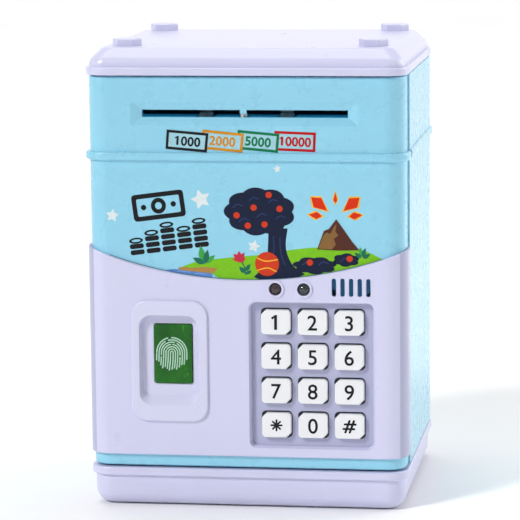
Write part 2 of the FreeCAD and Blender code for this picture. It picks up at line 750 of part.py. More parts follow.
def make_door_panel():
    slab = door_outline("door_slab", DOOR_LOW, DOOR_HIGH)
    soften(slab, "door_round", lies_at("Z", DOOR_LOW, DOOR_HIGH))
    belt = plate("door_belt", "Z", (BELT_LOW, BELT_HIGH), around("(half_width + belt_proud)"),
                 ("front - belt_front_proud", WRAP_END), "door_corner + belt_front_proud", "belt_round")
    soften(belt, "belt_round", lies_at("Z", BELT_LOW, BELT_HIGH))
    inside = plate("door_inside", "Z", (f"{DOOR_LOW} + door_wall", f"{DOOR_HIGH} - door_wall"),
                   around(f"({DOOR_HALF} - door_wall)"), (DOOR_INNER, f"{DOOR_BACK} + {OVER}"),
                   "door_corner - door_front_wall", "belt_round")
    tray = cut("door_tray", fuse("door_solid", slab, belt), inside)
    bushes = [rod("door_bush_low", "Z", (HINGE_X, HINGE_Y), (DOOR_LOW, f"{DOOR_LOW} + bush_height"),
                  "bush_radius"),
              rod("door_bush_high", "Z", (HINGE_X, HINGE_Y), (f"{DOOR_HIGH} - bush_height", DOOR_HIGH),
                  "bush_radius")]
    bosses = [rod(f"door_boss_{index}", "Y", spot, (f"{DOOR_INNER} - door_front_wall / 2", COVER_FRONT),
                  "boss_radius")
              for index, spot in enumerate(boss_spots())]
    bore = rod("door_bore", "Z", (HINGE_X, HINGE_Y), (f"{DOOR_LOW} - {OVER}", f"{DOOR_HIGH} + {OVER}"),
               "pin_radius + pin_clear")
    through = (f"{FASCIA_FRONT} - {OVER}", f"{DOOR_INNER} + {OVER}")
    slot_low = f"({SLOT_Z} - slot_height / 2)"
    slot_high = f"({SLOT_Z} + slot_height / 2)"
    slot = block("door_slot", around("slot_half"), through, (slot_low, slot_high))
    mouth = doc.addObject("Part::Wedge", "door_mouth")
    bind(mouth, Xmin=minus("mouth_half"), Xmax="mouth_half", Ymin="front", Ymax="front + mouth_depth",
         Zmin=f"{SLOT_Z} - mouth_height / 2", Zmax=f"{SLOT_Z} + mouth_height / 2",
         X2min=minus("slot_half"), X2max="slot_half", Z2min=slot_low, Z2max=slot_high)
    pad_hole = block("door_pad_hole", grown("pad_left", PAD_RIGHT, "pad_wall + fit"), through,
                     grown(PAD_LOW, PAD_HIGH, "pad_wall + fit"))
    grille_half = "(2 * grille_pitch + grille_width)"
    grille = block("door_grille_hole", (f"grille_x - {grille_half}", f"grille_x + {grille_half}"), through,
                   (PAD_HIGH, f"{GRILLE_HIGH} + grille_width"))
    scoop = block("door_scoop_hole", grown("bezel_left", "bezel_right", "fit - bezel_lap"), through,
                  grown(above("bezel_low"), above("bezel_high"), "fit - bezel_lap"))
    lamps = [rod(f"door_lamp_hole_{x}", "Y", (x, LAMP_Z), through, "lamp_radius + fit")
             for x in ("lamp_left", "lamp_right")]
    stakes = [rod(f"door_stake_hole_{index}", "Y", spot, through, "stake_radius")
              for index, spot in enumerate(stake_spots())]
    pilots = [rod(f"door_pilot_{index}", "Y", spot,
                  (f"{DOOR_INNER} + door_front_wall", f"{COVER_FRONT} + {OVER}"),
                  "screw_radius") for index, spot in enumerate(boss_spots())]
    drilled = cut("door_drilled", fuse("door_filled", tray, *bushes, *bosses), bore, slot, mouth, pad_hole,
                  grille,
                  scoop, *lamps, *stakes, *pilots)
    rib = block("door_rib", ("rib_centre - rib_width / 2", "rib_centre + rib_width / 2"),
                ("front + mouth_depth", DOOR_INNER), (SLOT_Z, f"{slot_high} + door_wall"))
    finish("door_panel", fuse("door_ribbed", drilled, rib))


def stake_spots():
    """Where the fascia's stakes pass through the door."""
    return [(x, z) for x in (minus("stake_x"), "stake_x")
            for z in (above("stake_low"), f"({PAD_HIGH} + stake_rise)")]


def make_fascia():
    low = above("fascia_low")
    reach = "(half_width + fascia_side)"
    high = f"({ARC_LOW} + fascia_arc_radius - sqrt(fascia_arc_radius ^ 2 - {reach} ^ 2) + {OVER})"
    skin = plate("fascia_skin", "Z", (low, high), around(f"({DOOR_HALF} + fascia_side)"),
                 (FASCIA_FRONT, WRAP_END), "door_corner + fascia_side", "fascia_side / 2")
    soften(skin, "fascia_round", lies_at("Z", low))
    body = door_outline("fascia_body", f"{low} - {OVER}", f"{high} + {OVER}")
    arc = rod("fascia_arc", "Y", ("fascia_arc_x", f"({ARC_LOW} + fascia_arc_radius)"),
              (f"{FASCIA_FRONT} - {OVER}", f"{DOOR_BACK} + {OVER}"), "fascia_arc_radius")
    arched = rounded("fascia_arched", cut("fascia_below_arc", skin, arc), "fascia_arc_round", on_fascia_arc)
    wrap = cut("fascia_wrap", arched, body)
    well = block("fascia_well", grown("pad_left", PAD_RIGHT, "pad_wall"),
                 (f"{FASCIA_FRONT} + fascia_proud / 2", PAD_BACK),
                 grown(PAD_LOW, PAD_HIGH, "pad_wall"))
    rings = [rod(f"fascia_ring_{x}", "Y", (x, LAMP_Z),
                 (f"{FASCIA_FRONT} - lamp_ring_proud", f"{FASCIA_FRONT} + fascia_proud / 2"), "lamp_ring")
             for x in ("lamp_left", "lamp_right")]
    stakes = [rod(f"fascia_stake_{index}", "Y", spot,
                  (f"{FASCIA_FRONT} + fascia_proud / 2", f"{DOOR_INNER} + fit"),
                  "stake_radius") for index, spot in enumerate(stake_spots())]
    pocket = doc.addObject("PartDesign::Body", "fascia_pocket")
    loft(pocket, "fascia_pocket", "Y",
         (FASCIA_FRONT, ("pad_left", PAD_RIGHT), (PAD_LOW, PAD_HIGH), "pad_corner"),
         (PAD_FLOOR, grown("pad_left", PAD_RIGHT, "0 - pad_draft"),
          grown(PAD_LOW, PAD_HIGH, "0 - pad_draft"), "pad_corner - pad_draft"))
    through = (f"{FASCIA_FRONT} - {OVER}", f"{PAD_BACK} + {OVER}")
    holes = [plate(f"fascia_key_hole_{index}", "Y", through, grown(x, x, "key_width / 2 + key_gap"),
                   (f"{z} - key_height / 2 - key_gap", f"{z} + key_height / 2 + key_gap_high"),
                   "key_corner + key_gap") for index, (x, z) in enumerate(key_spots())]
    grille = [plate(f"fascia_slot_{index}", "Y", (f"{FASCIA_FRONT} - {OVER}", f"front + {OVER}"),
                    (f"grille_x + {index - 2} * grille_pitch - grille_width / 2",
                     f"grille_x + {index - 2} * grille_pitch + grille_width / 2"),
                    (GRILLE_LOW, GRILLE_HIGH), "grille_width / 2 - fit") for index in range(5)]
    bezel = plate("fascia_bezel_hole", "Y", (f"{FASCIA_FRONT} - {OVER}", f"front + {OVER}"),
                  grown("bezel_left", "bezel_right", "0 - bezel_lap"),
                  grown(above("bezel_low"), above("bezel_high"),
                        "0 - bezel_lap"), "bezel_corner - bezel_lap")
    lamps = [rod(f"fascia_lamp_hole_{x}", "Y", (x, LAMP_Z), through, "lamp_radius + fit")
             for x in ("lamp_left", "lamp_right")]
    finish("front_fascia", cut("fascia_cut", fuse("fascia_solid", wrap, well, *rings, *stakes), pocket,
                               bezel,
                               *holes, *grille, *lamps))


def on_fascia_arc(edge):
    """Edges along the fascia's arched top, apart from the rear ones."""
    centre_x, centre_z, reach = [value(text) for text in
                                 ("fascia_arc_x", f"{ARC_LOW} + fascia_arc_radius", "fascia_arc_radius")]
    ends = edge.Vertexes
    along = all(abs(math.hypot(spot.X - centre_x, spot.Z - centre_z) - reach) < NEAR for spot in ends)
    return along and edge.BoundBox.YMin < value(WRAP_END) - NEAR


def key_spots():
    """Centres of the keys, row by row from the top left."""
    first_x = "(pad_left + pad_margin_left + key_width / 2)"
    first_z = f"({PAD_HIGH} - pad_margin_high - key_height / 2)"
    return [(f"({first_x} + {column} * (key_width + key_space_x))",
             f"({first_z} - {row} * (key_height + key_space_z))")
            for row in range(4) for column in range(3)]


def make_keys():
    names = ["key_1", "key_2", "key_3", "key_4", "key_5", "key_6", "key_7", "key_8", "key_9",
             "key_star", "key_0", "key_hash"]
    front = "(front - key_proud)"
    flange = f"({PAD_BACK} + part_gap)"
    right, top = "(key_width / 2)", "(key_height / 2)"
    outline = [(minus(right), minus(top)), (f"{right} - key_cut", minus(top)), (right, f"key_cut - {top}"),
               (right, top), (f"key_cut - {right}", top), (minus(right), f"{top} - key_cut")]
    for name, (x, z) in zip(names, key_spots()):
        cap = prism(f"{name}_cap", "Y", (front, flange), outline)
        soften(cap, "key_corner", is_square_corner)
        soften(cap, "key_round", lies_at("Y", front))
        back = block(f"{name}_flange", around(f"({right} + key_flange)"),
                     (flange, f"{flange} + key_flange_thick"),
                     around(f"({top} + key_flange)"))
        finish(name, place(fuse(f"{name}_whole", cap, back), x, "0", z))


def is_square_corner(edge):
    """The two uncut corners of a key: straight edges along Y at the far ends of its other diagonal."""
    box = edge.BoundBox
    square = value("(key_width + key_height) / 2") - NEAR
    return box.YLength > NEAR and abs(box.XMin) + abs(box.ZMin) > square


def make_keypad_mat():
    sheet_body = block("mat_sheet", ("pad_left", PAD_RIGHT), (MAT_FRONT, BOARD_FRONT),
                       (PAD_LOW, PAD_HIGH))
    domes = []
    for index, (x, z) in enumerate(key_spots()):
        dome = doc.addObject("Part::Cone", f"mat_dome_{index}")
        dome.Placement.Rotation = Rotation(Vector(1, 0, 0), 90)
        bind(dome, Radius1="dome_radius", Radius2="dome_radius / 2", Height="dome_height")
        domes.append(place(dome, x, MAT_FRONT, z))
    finish("keypad_mat", fuse("mat_domed", sheet_body, *domes))


def make_main_board():
    span = (BOARD_FRONT, BOARD_BACK)
    wide = block("board_wide", ("board_left", PAD_RIGHT), span, (above("board_low"), PAD_HIGH))
    arm = block("board_upper", ("board_left", "board_step"), span,
                (above("board_low"), f"{PAD_HIGH} + board_rise"))
    finish("main_board", fuse("board_whole", wide, arm))
    x, z = "(button_left + button_right) / 2", above("(button_low + button_high) / 2")
    body = block("switch_case", grown(x, x, "switch_width / 2"),
                 (f"{BOARD_FRONT} - switch_body", BOARD_FRONT),
                 grown(z, z, "switch_width / 2"))
    tip = f"({SCOOP_BACK} + 2 * part_gap + button_flange_thick + button_travel)"
    stem = rod("switch_stem", "Y", (x, z), (tip, f"{BOARD_FRONT} - switch_body"), "plunger_radius")
    finish("fingerprint_switch", fuse("switch_whole", body, stem))


def make_lamp(label, x):
    z = LAMP_Z
    tip = f"({BEZEL_FRONT} + lamp_radius)"
    flange = f"({DOOR_INNER} + part_gap)"
    bulb = doc.addObject("Part::Sphere", f"{label}_dome")
    bind(bulb, Radius="lamp_radius")
    place(bulb, x, tip, z)
    barrel = rod(f"{label}_barrel", "Y", (x, z), (tip, f"{flange} + lamp_flange"), "lamp_radius")
    collar = rod(f"{label}_collar", "Y", (x, z), (flange, f"{flange} + {OVER}"), "lamp_flange")
    leads = [rod(f"{label}_lead_{index}", "Y", (f"{x} + {shift} * lead_spread", z),
                 (f"{flange} + lamp_flange", BOARD_FRONT),
                 "lead_radius") for index, shift in enumerate((-1, 1))]
    finish(label, fuse(f"{label}_whole", bulb, barrel, collar, *leads))


def make_speaker():
    centre = ("grille_x", f"({PAD_HIGH} + speaker_rise)")
    frame = rod("speaker_frame", "Y", centre,
                (f"{PAD_BACK} + part_gap", f"{PAD_BACK} + part_gap + speaker_rim"),
                "speaker_radius")
    magnet = rod("speaker_magnet", "Y", centre, (f"{PAD_BACK} + part_gap", f"{PAD_BACK} + speaker_depth"),
                 "magnet_radius")
    finish("speaker", fuse("speaker_whole", frame, magnet))


def make_bezel():
    lap = "0 - bezel_lap - fit"
    flange = plate("bezel_flange", "Y", (BEZEL_FRONT, FASCIA_FRONT), ("bezel_left", "bezel_right"),
                   (above("bezel_low"), above("bezel_high")), "bezel_corner")
    soften(flange, "bezel_round", lies_at("Y", BEZEL_FRONT))
    insert = plate("bezel_insert", "Y", (f"{BEZEL_FRONT} + bezel_round", SCOOP_BACK),
                   grown("bezel_left", "bezel_right", lap),
                   grown(above("bezel_low"), above("bezel_high"), lap),
                   "bezel_corner - bezel_lap")
    scoop = doc.addObject("PartDesign::Body", "bezel_scoop")
    loft(scoop, "bezel_scoop", "Y",
         (BEZEL_FRONT, ("scoop_left", "scoop_right"), (above("scoop_low"), above("scoop_high")),
          "scoop_corner"),
         (SCOOP_FLOOR, grown("scoop_left", "scoop_right", "0 - scoop_draft"),
          (above("(scoop_low + scoop_ramp)"), above("(scoop_high - scoop_draft)")),
          "scoop_corner - scoop_draft"))
    window = plate("bezel_window", "Y", (f"{BEZEL_FRONT} - {OVER}", f"{SCOOP_BACK} + {OVER}"),
                   grown("button_left", "button_right", "fit * 2"),
                   grown(above("button_low"), above("button_high"), "fit * 2"), "button_corner")
    finish("fingerprint_bezel", cut("bezel_cut", fuse("bezel_solid", flange, insert), scoop, window))


def make_fingerprint_button():
    front = f"({SCOOP_FLOOR} - button_proud)"
    flange = f"({SCOOP_BACK} + part_gap)"
    cap = plate("button_cap", "Y", (front, flange), ("button_left", "button_right"),
                (above("button_low"), above("button_high")), "button_corner")
    soften(cap, "button_round", lies_at("Y", front))
    back = block("button_back", grown("button_left", "button_right", "button_flange"),
                 (flange, f"{flange} + button_flange_thick"),
                 grown(above("button_low"), above("button_high"), "button_flange"))
    finish("fingerprint_button", fuse("button_whole", cap, back))


def make_note_guide():
    span = (f"{DOOR_INNER} + fit", f"{COVER_FRONT} - fit")
    cheek_span = (f"{SLOT_Z} - cheek_low", f"{SLOT_Z} + cheek_high")
    cheeks = [block("cheek_right", (CHEEK_IN, CHEEK_OUT), span, cheek_span),
              block("cheek_left", (minus(CHEEK_OUT), minus(CHEEK_IN)), span, cheek_span)]
    low = block("guide_low", around(f"({CHEEK_IN} + cheek_thick / 2)"), span,
                (f"{SLOT_Z} - slot_height / 2 - guide_plate", f"{SLOT_Z} - slot_height / 2"))
    high = block("guide_high", around(f"({CHEEK_IN} + cheek_thick / 2)"), span,
                 (f"{SLOT_Z} + slot_height / 2", f"{SLOT_Z} + slot_height / 2 + guide_plate"))
    windows = [block(f"guide_window_{side}", grown(f"{side} * roller_x", f"{side} * roller_x",
                                                   "roller_width / 2 + roller_window"),
                     (f"{FEED_Y} - feed_roller - 2 * part_gap", f"{COVER_FRONT} + {OVER}"),
                     grown(SLOT_Z, SLOT_Z, "slot_height"))
               for side in (-1, 1)]
    lever_y = f"({DOOR_INNER} + lever_pin + {OVER})"
    lever_z = f"({SLOT_Z} - lever_pivot_drop)"
    lever_gate = block("guide_lever_gate",
                       grown("rib_centre", "rib_centre", "lever_width / 2 + roller_window"),
                       (f"{DOOR_INNER} - {OVER}", f"{DOOR_INNER} + 2 * lever_depth"),
                       grown(SLOT_Z, SLOT_Z, "slot_height"))
    ears = [block(f"guide_ear_{side}", sorted_span(side, "ear_gap", "ear_thick"),
                  (f"{DOOR_INNER} + fit", f"{lever_y} + ear_reach"),
                  (f"{lever_z} - ear_reach",
                   f"{SLOT_Z} - slot_height / 2 - guide_plate / 2")) for side in (-1, 1)]
    bores = [rod("guide_feed_bore", "X", (FEED_Y, FEED_Z), around(f"({CHEEK_OUT} + {OVER})"),
                 "shaft_radius + pin_clear"),
             rod("guide_pinch_bore", "X", (FEED_Y, PINCH_Z), around(f"({CHEEK_OUT} + {OVER})"),
                 "pinch_shaft_radius + pin_clear"),
             rod("guide_motor_bore", "X", (FEED_Y, MOTOR_Z),
                 (f"{CHEEK_IN} - {OVER}", f"{CHEEK_OUT} + {OVER}"),
                 "motor_shaft + 2 * pin_clear"),
             rod("guide_pin_bore", "X", (lever_y, lever_z), lever_pin_span(), "lever_pin")]
    finish("note_guide", cut("guide_cut", fuse("guide_solid", low, high, *cheeks, *ears), lever_gate,
                             *windows, *bores))
    finish("lever_pin", rod("lever_pin_rod", "X", (lever_y, lever_z), lever_pin_span(), "lever_pin"))
    make_lever(lever_y, lever_z)


def sorted_span(side, inner, thick):
    """Span of a part that starts a gap away from the lever's middle, on one side of it."""
    near, far = f"rib_centre + {side} * {inner}", f"rib_centre + {side} * ({inner} + {thick})"
    return (near, far) if side > 0 else (far, near)


def lever_pin_span():
    return grown("rib_centre", "rib_centre", "ear_gap + ear_thick")


def make_lever(lever_y, lever_z):
    width = grown("rib_centre", "rib_centre", "lever_width / 2")
    hub = rod("lever_hub_rod", "X", (lever_y, lever_z), width, "lever_hub")
    arm = block("lever_arm", width, (f"{lever_y} - lever_thick / 2", f"{lever_y} + lever_thick / 2"),
                (lever_z, f"{SLOT_Z} - lever_tip_drop"))
    bore = rod("lever_bore", "X", (lever_y, lever_z), grown("rib_centre", "rib_centre", "lever_width"),
               "lever_pin + pin_clear")
    finish("note_lever", cut("lever_cut", fuse("lever_solid", hub, arm), bore))


def gear_outline(teeth, module, turned):
    """Corners of a spur gear with straight-sided teeth, as (y, z) pairs about its centre."""
    pitch = teeth * module / 2
    tip = pitch + TOOTH_TIP * module
    root = pitch - TOOTH_ROOT * module
    corners = []
    for tooth in range(teeth):
        middle = 2 * math.pi * (tooth + turned) / teeth
        for radius, half in ((root, -TOOTH_ROOT_HALF), (tip, -TOOTH_TIP_HALF), (tip, TOOTH_TIP_HALF),
                             (root, TOOTH_ROOT_HALF)):
            angle = middle + half * module / radius
            corners.append((radius * math.cos(angle), radius * math.sin(angle)))
    return corners


def make_gear(label, teeth, module, turned, axis, spot, width, bore):
    """Gear as a feature of its own; its place and sizes are read from the sheet."""
    corners = gear_outline(teeth, value(module), turned)
    if axis == "X":
        points = [Vector(0, first, second) for first, second in corners]
        direction = Vector(1, 0, 0)
    else:
        points = [Vector(first, 0, second) for first, second in corners]
        direction = Vector(0, 1, 0)
    disc = Part.Face(Part.makePolygon(points + points[:1])).extrude(value(width) * direction)
    if bore:
        disc = disc.cut(Part.makeCylinder(value(bore), value(width), Vector(), direction))
    gear = doc.addObject("Part::Feature", f"{label}_wheel")
    gear.Shape = disc
    return place(gear, *spot)


def make_note_feed():
    feed = rod("feed_rod", "X", (FEED_Y, FEED_Z), around(f"({GEAR_IN} + gear_width)"), "shaft_radius")
    finish("feed_shaft", feed)
    pinch = rod("pinch_rod", "X", (FEED_Y, PINCH_Z),
                (f"0 - {GEAR_IN} - gear_width", f"{CHEEK_OUT} + gear_width"),
                "pinch_shaft_radius")
    finish("pinch_shaft", pinch)
    for side, x in (("left", minus("roller_x")), ("right", "roller_x")):
        span = grown(x, x, "roller_width / 2")
        for kind, z, radius, core in (("feed", FEED_Z, "feed_roller", "shaft_radius"),
                                      ("pinch", PINCH_Z, "pinch_roller", "pinch_shaft_radius")):
            tyre = rod(f"{kind}_tyre_{side}", "X", (FEED_Y, z), span, radius)
            hole = rod(f"{kind}_core_{side}", "X", (FEED_Y, z), grown(x, x, "roller_width"), core)
            finish(f"{kind}_roller_{side}", cut(f"{kind}_ring_{side}", tyre, hole))
    teeth = int(value("gear_teeth"))
    small = int(value("pinion_teeth"))
    left = f"0 - {GEAR_IN} - gear_width"
    finish("feed_gear", make_gear("feed_gear", teeth, "gear_module", teeth / 4, "X", (left, FEED_Y, FEED_Z),
                                  "gear_width", "shaft_radius"))
    finish("pinch_gear", make_gear("pinch_gear", teeth, "gear_module", teeth / 4 + 0.5 + teeth / 2, "X",
                                   (left, FEED_Y, PINCH_Z), "gear_width", "pinch_shaft_radius"))
    finish("drive_gear", make_gear("drive_gear", teeth, "gear_module", -teeth / 4, "X",
                                   (GEAR_IN, FEED_Y, FEED_Z),
                                   "gear_width", "shaft_radius"))
    wheel = make_gear("motor_pinion", small, "gear_module", small / 4 + 0.5, "X",
                      (GEAR_IN, FEED_Y, MOTOR_Z),
                      "gear_width", "")
    case_end = f"({CHEEK_IN} - fit)"
    shaft = rod("motor_pinion_shaft", "X", (FEED_Y, MOTOR_Z),
                (f"{case_end} - motor_length / 4", f"{GEAR_IN} + {OVER}"),
                "motor_shaft")
    finish("motor_pinion", fuse("motor_pinion_whole", wheel, shaft))
    can = rod("feed_motor_can", "X", (FEED_Y, MOTOR_Z), (f"{case_end} - motor_length", case_end),
              "motor_radius")
    bearing = rod("feed_motor_bore", "X", (FEED_Y, MOTOR_Z),
                  (f"{case_end} - motor_length / 4 - fit", f"{case_end} + {OVER}"),
                  "motor_shaft + pin_clear")
    finish("feed_motor", cut("feed_motor_cut", can, bearing))


def make_lock():
    span = (BOLT_FRONT, f"{BOLT_FRONT} + lock_gear_width")
    teeth = int(value("lock_teeth"))
    wheel = make_gear("lock_pinion", teeth, "lock_module", teeth / 4, "Y", (LOCK_X, BOLT_FRONT, LOCK_Z),
                      "lock_gear_width", "")
    motor_back = f"({COVER_FRONT} - fit)"
    shaft = rod("lock_shaft", "Y", (LOCK_X, LOCK_Z),
                (f"{motor_back} - lock_gear_depth", f"{BOLT_FRONT} + {OVER}"),
                "motor_shaft")
    finish("lock_pinion", fuse("lock_pinion_whole", wheel, shaft))
    can = rod("lock_motor_can", "Y", (LOCK_X, LOCK_Z), (f"{DOOR_INNER} + fit", motor_back),
              "lock_motor_radius")
    bearing = rod("lock_motor_bore", "Y", (LOCK_X, LOCK_Z),
                  (f"{motor_back} - lock_gear_depth - fit", f"{motor_back} + {OVER}"),
                  "motor_shaft + pin_clear")
    finish("lock_motor", cut("lock_motor_cut", can, bearing))
    make_bolt(span)
    make_housing()


def make_bolt(span):
    """Bolt with a rack under it, in mesh with the pinion."""
    bar = block("bolt_bar", (f"{BOLT_TIP} - bolt_length", BOLT_TIP), span,
                (BOLT_LOW, f"{BOLT_LOW} + bolt_height"))
    module = value("lock_module")
    pitch = math.pi * module
    teeth = int(value("rack_teeth"))
    faces = []
    for index in range(teeth):
        middle = (index + 0.5 - teeth / 2) * pitch
        half_root = TOOTH_ROOT_HALF * module
        half_tip = TOOTH_TIP_HALF * module
        drop = (TOOTH_ROOT + TOOTH_TIP) * module
        points = [Vector(middle - half_root, 0, 0), Vector(middle - half_tip, 0, -drop),
                  Vector(middle + half_tip, 0, -drop), Vector(middle + half_root, 0, 0)]
        faces.append(Part.Face(Part.makePolygon(points + points[:1])))
    rack = doc.addObject("Part::Feature", "bolt_rack")
    rack.Shape = Part.makeCompound([face.extrude(Vector(0, value("lock_gear_width"), 0)) for face in faces])
    place(rack, LOCK_X, BOLT_FRONT, BOLT_LOW)
    finish("latch_bolt", fuse("bolt_whole", bar, rack))


def make_housing():
    """Open-fronted box behind the cover that carries the bolt, and the strike that receives it."""
    high = f"({BOLT_LOW} + bolt_height)"
    tooth = f"({BOLT_LOW} - lock_module * {TOOTH_ROOT + TOOTH_TIP})"
    ends = (f"{BOLT_TIP} - bolt_length - housing_end - housing_wall", f"{BOLT_TIP} - housing_end")
    shell = block("housing_shell", ends, (DOOR_BACK, f"{DOOR_BACK} + housing_depth"),
                  (f"{LOCK_Z} - housing_low", f"{LOCK_Z} + housing_high"))
    room = block("housing_room", (f"{ends[0]} + housing_wall", f"{ends[1]} - housing_wall"),
                 (f"{DOOR_BACK} - {OVER}", f"{DOOR_BACK} + housing_depth - housing_wall"),
                 (f"{LOCK_Z} - housing_low + housing_wall", f"{LOCK_Z} + housing_high - housing_wall"))
    gate = (f"{BOLT_FRONT} - slide_gap", f"{BOLT_FRONT} + lock_gear_width + slide_gap")
    path = block("housing_path", (f"{ends[0]} - {OVER}", f"{ends[1]} + {OVER}"), gate,
                 (f"{tooth} - slide_gap", f"{high} + slide_gap"))
    finish("lock_housing", cut("housing_cut", shell, room, path))
    inner = "(half_width - shell_wall)"
    wall = "strike_wall + strike_gap"
    strike = block("strike_block", (f"{inner} - strike_length", inner), grown(gate[0], gate[1], wall),
                   (f"{BOLT_LOW} - strike_gap - strike_wall", f"{high} + strike_gap + strike_wall"))
    keep = block("strike_pocket", (f"{inner} - strike_length - {OVER}", f"{inner} - strike_plate"),
                 grown(gate[0], gate[1], "strike_gap"),
                 (f"{BOLT_LOW} - strike_gap", f"{high} + strike_gap"))
    finish("strike", cut("strike_cut", strike, keep))


def make_inner_cover():
    sheet_half = f"({DOOR_HALF} - door_wall - fit)"
    sheet_body = block("cover_sheet", around(sheet_half), (COVER_FRONT, DOOR_BACK),
                       (f"{DOOR_LOW} + door_wall + fit", f"{DOOR_HIGH} - door_wall - fit"))
    through = (f"{COVER_FRONT} - {OVER}", f"{DOOR_BACK} + {OVER}")
    exit_gap = block("cover_exit", around("exit_half"), through, grown(SLOT_Z, SLOT_Z, "exit_height / 2"))
    shaft = rod("cover_shaft_hole", "Y", (LOCK_X, LOCK_Z), through, "motor_shaft + screw_clear * 4")
    screws = [rod(f"cover_hole_{index}", "Y", spot, through, "screw_radius + screw_clear")
              for index, spot in enumerate(boss_spots())]
    finish("door_inner_cover", cut("cover_cut", sheet_body, exit_gap, shaft, *screws))
    group = []
    for index, spot in enumerate(boss_spots()):
        group.append(rod(f"cover_screw_head_{index}", "Y", spot,
                         (DOOR_BACK, f"{DOOR_BACK} + screw_head_thick"),
                         "screw_head"))
        group.append(rod(f"cover_screw_shank_{index}", "Y", spot, (f"{DOOR_BACK} - bush_height", DOOR_BACK),
                         "screw_radius"))
    finish("cover_screws", fuse("cover_screw_group", *group))


def cell_spots():
    return [f"(cell_centre_x + {index} * {CELL_PITCH})" for index in (-1, 0, 1)]


def make_battery_box():
    x = (f"cell_centre_x - {BOX_HALF}", f"cell_centre_x + {BOX_HALF}")
    z = grown(CELL_LOW, CELL_HIGH, "contact_space + box_wall")
    case = block("box_case", x, (DOOR_BACK, BOX_BACK), z)
    room = block("box_room", (f"{x[0]} + box_wall", f"{x[1]} - box_wall"),
                 (f"{DOOR_BACK} + box_wall", f"{BOX_BACK} + {OVER}"),
                 grown(CELL_LOW, CELL_HIGH, "contact_space"))
    finish("battery_box", cut("box_open", case, room))
    lid = block("box_lid", x, (f"{BOX_BACK} + part_gap", f"{BOX_BACK} + part_gap + lid_plate"), z)
    tongue = block("box_lid_tongue", (f"{x[0]} + box_wall + fit", f"{x[1]} - box_wall - fit"),
                   (f"{BOX_BACK} - lid_tongue / 8", f"{BOX_BACK} + lid_plate"),
                   (f"{CELL_HIGH} + contact_space - lid_tongue", f"{CELL_HIGH} + contact_space - fit"))
    finish("battery_cover", fuse("box_lid_whole", lid, tongue))
    plates = []
    for index, spot in enumerate(cell_spots()):
        cell = rod(f"cell_{index}", "Z", (spot, CELL_Y), (CELL_LOW, f"{CELL_HIGH} - cell_nub_height"),
                   "cell_radius")
        nub = rod(f"cell_nub_{index}", "Z", (spot, CELL_Y),
                  (f"{CELL_HIGH} - cell_nub_height - fit", CELL_HIGH), "cell_nub")
        finish(f"battery_{index + 1}", fuse(f"cell_whole_{index}", cell, nub))
        low_end, high_end = f"({CELL_LOW} - contact_space)", f"({CELL_HIGH} + contact_space)"
        plates.append(rod(f"contact_low_{index}", "Z", (spot, CELL_Y),
                          (low_end, f"{low_end} + contact_thick"),
                          "contact_radius"))
        plates.append(rod(f"contact_high_{index}", "Z", (spot, CELL_Y),
                          (f"{high_end} - contact_thick", high_end),
                          "contact_radius"))
        plates.append(rod(f"contact_spring_{index}", "Z", (spot, CELL_Y),
                          (f"{low_end} + contact_thick / 2", CELL_LOW),
                          "cell_nub"))
    finish("battery_contacts", fuse("contact_group", *plates))


def make_all():
    make_base_tray()
    make_body_shell()
    make_lid()
    make_casing_screws()
    make_hinge_pins()
    make_door_panel()
    make_fascia()
    make_bezel()
    make_fingerprint_button()
    make_keys()
    make_keypad_mat()
    make_main_board()
    make_lamp("indicator_lamp_left", "lamp_left")
    make_lamp("indicator_lamp_right", "lamp_right")
    make_speaker()
    make_note_guide()
    make_note_feed()
    make_lock()
    make_inner_cover()
    make_battery_box()


def write_all():
    """Every object has to be sound before any piece is written."""
    doc.recompute()
    for item in doc.Objects:
        if "Invalid" in item.State or "Error" in item.State:
            raise RuntimeError(f"{item.Name} did not build: {item.State}")
    for item in pieces:
        if item.Shape.isNull() or not item.Shape.isValid() or not item.Shape.Solids:
            raise RuntimeError(f"{item.Label} has no sound solid")
    os.makedirs("parts", exist_ok=True)
    for item in pieces:
        item.Shape.exportStep(f"parts/{item.Label}.step")
        print(item.Label, len(item.Shape.Solids), round(item.Shape.Volume, 1))


make_all()
write_all()
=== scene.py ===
import math

import bmesh
import bpy
from mathutils import Matrix, Quaternion, Vector


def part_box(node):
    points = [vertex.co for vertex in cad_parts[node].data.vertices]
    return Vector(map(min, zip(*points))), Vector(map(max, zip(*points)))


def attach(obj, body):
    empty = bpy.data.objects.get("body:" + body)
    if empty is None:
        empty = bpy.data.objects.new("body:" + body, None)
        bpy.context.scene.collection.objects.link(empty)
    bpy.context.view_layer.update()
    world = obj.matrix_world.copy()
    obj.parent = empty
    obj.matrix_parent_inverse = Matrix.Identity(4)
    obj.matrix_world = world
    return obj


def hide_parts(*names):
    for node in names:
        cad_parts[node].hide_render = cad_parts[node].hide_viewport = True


# Looks of a toy bank shaped like a cash machine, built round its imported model.
# Metres, +X right, +Y back, +Z up. Art on the door is given in millimetres on the door's front.

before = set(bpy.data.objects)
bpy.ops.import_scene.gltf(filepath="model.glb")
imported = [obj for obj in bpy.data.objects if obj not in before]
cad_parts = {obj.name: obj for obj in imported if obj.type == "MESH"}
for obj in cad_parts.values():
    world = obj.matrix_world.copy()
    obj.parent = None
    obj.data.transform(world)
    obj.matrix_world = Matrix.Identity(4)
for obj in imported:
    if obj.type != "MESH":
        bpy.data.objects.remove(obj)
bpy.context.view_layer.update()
scene = bpy.context.scene
MM = 0.001


# ---------------------------------------------------------------- materials

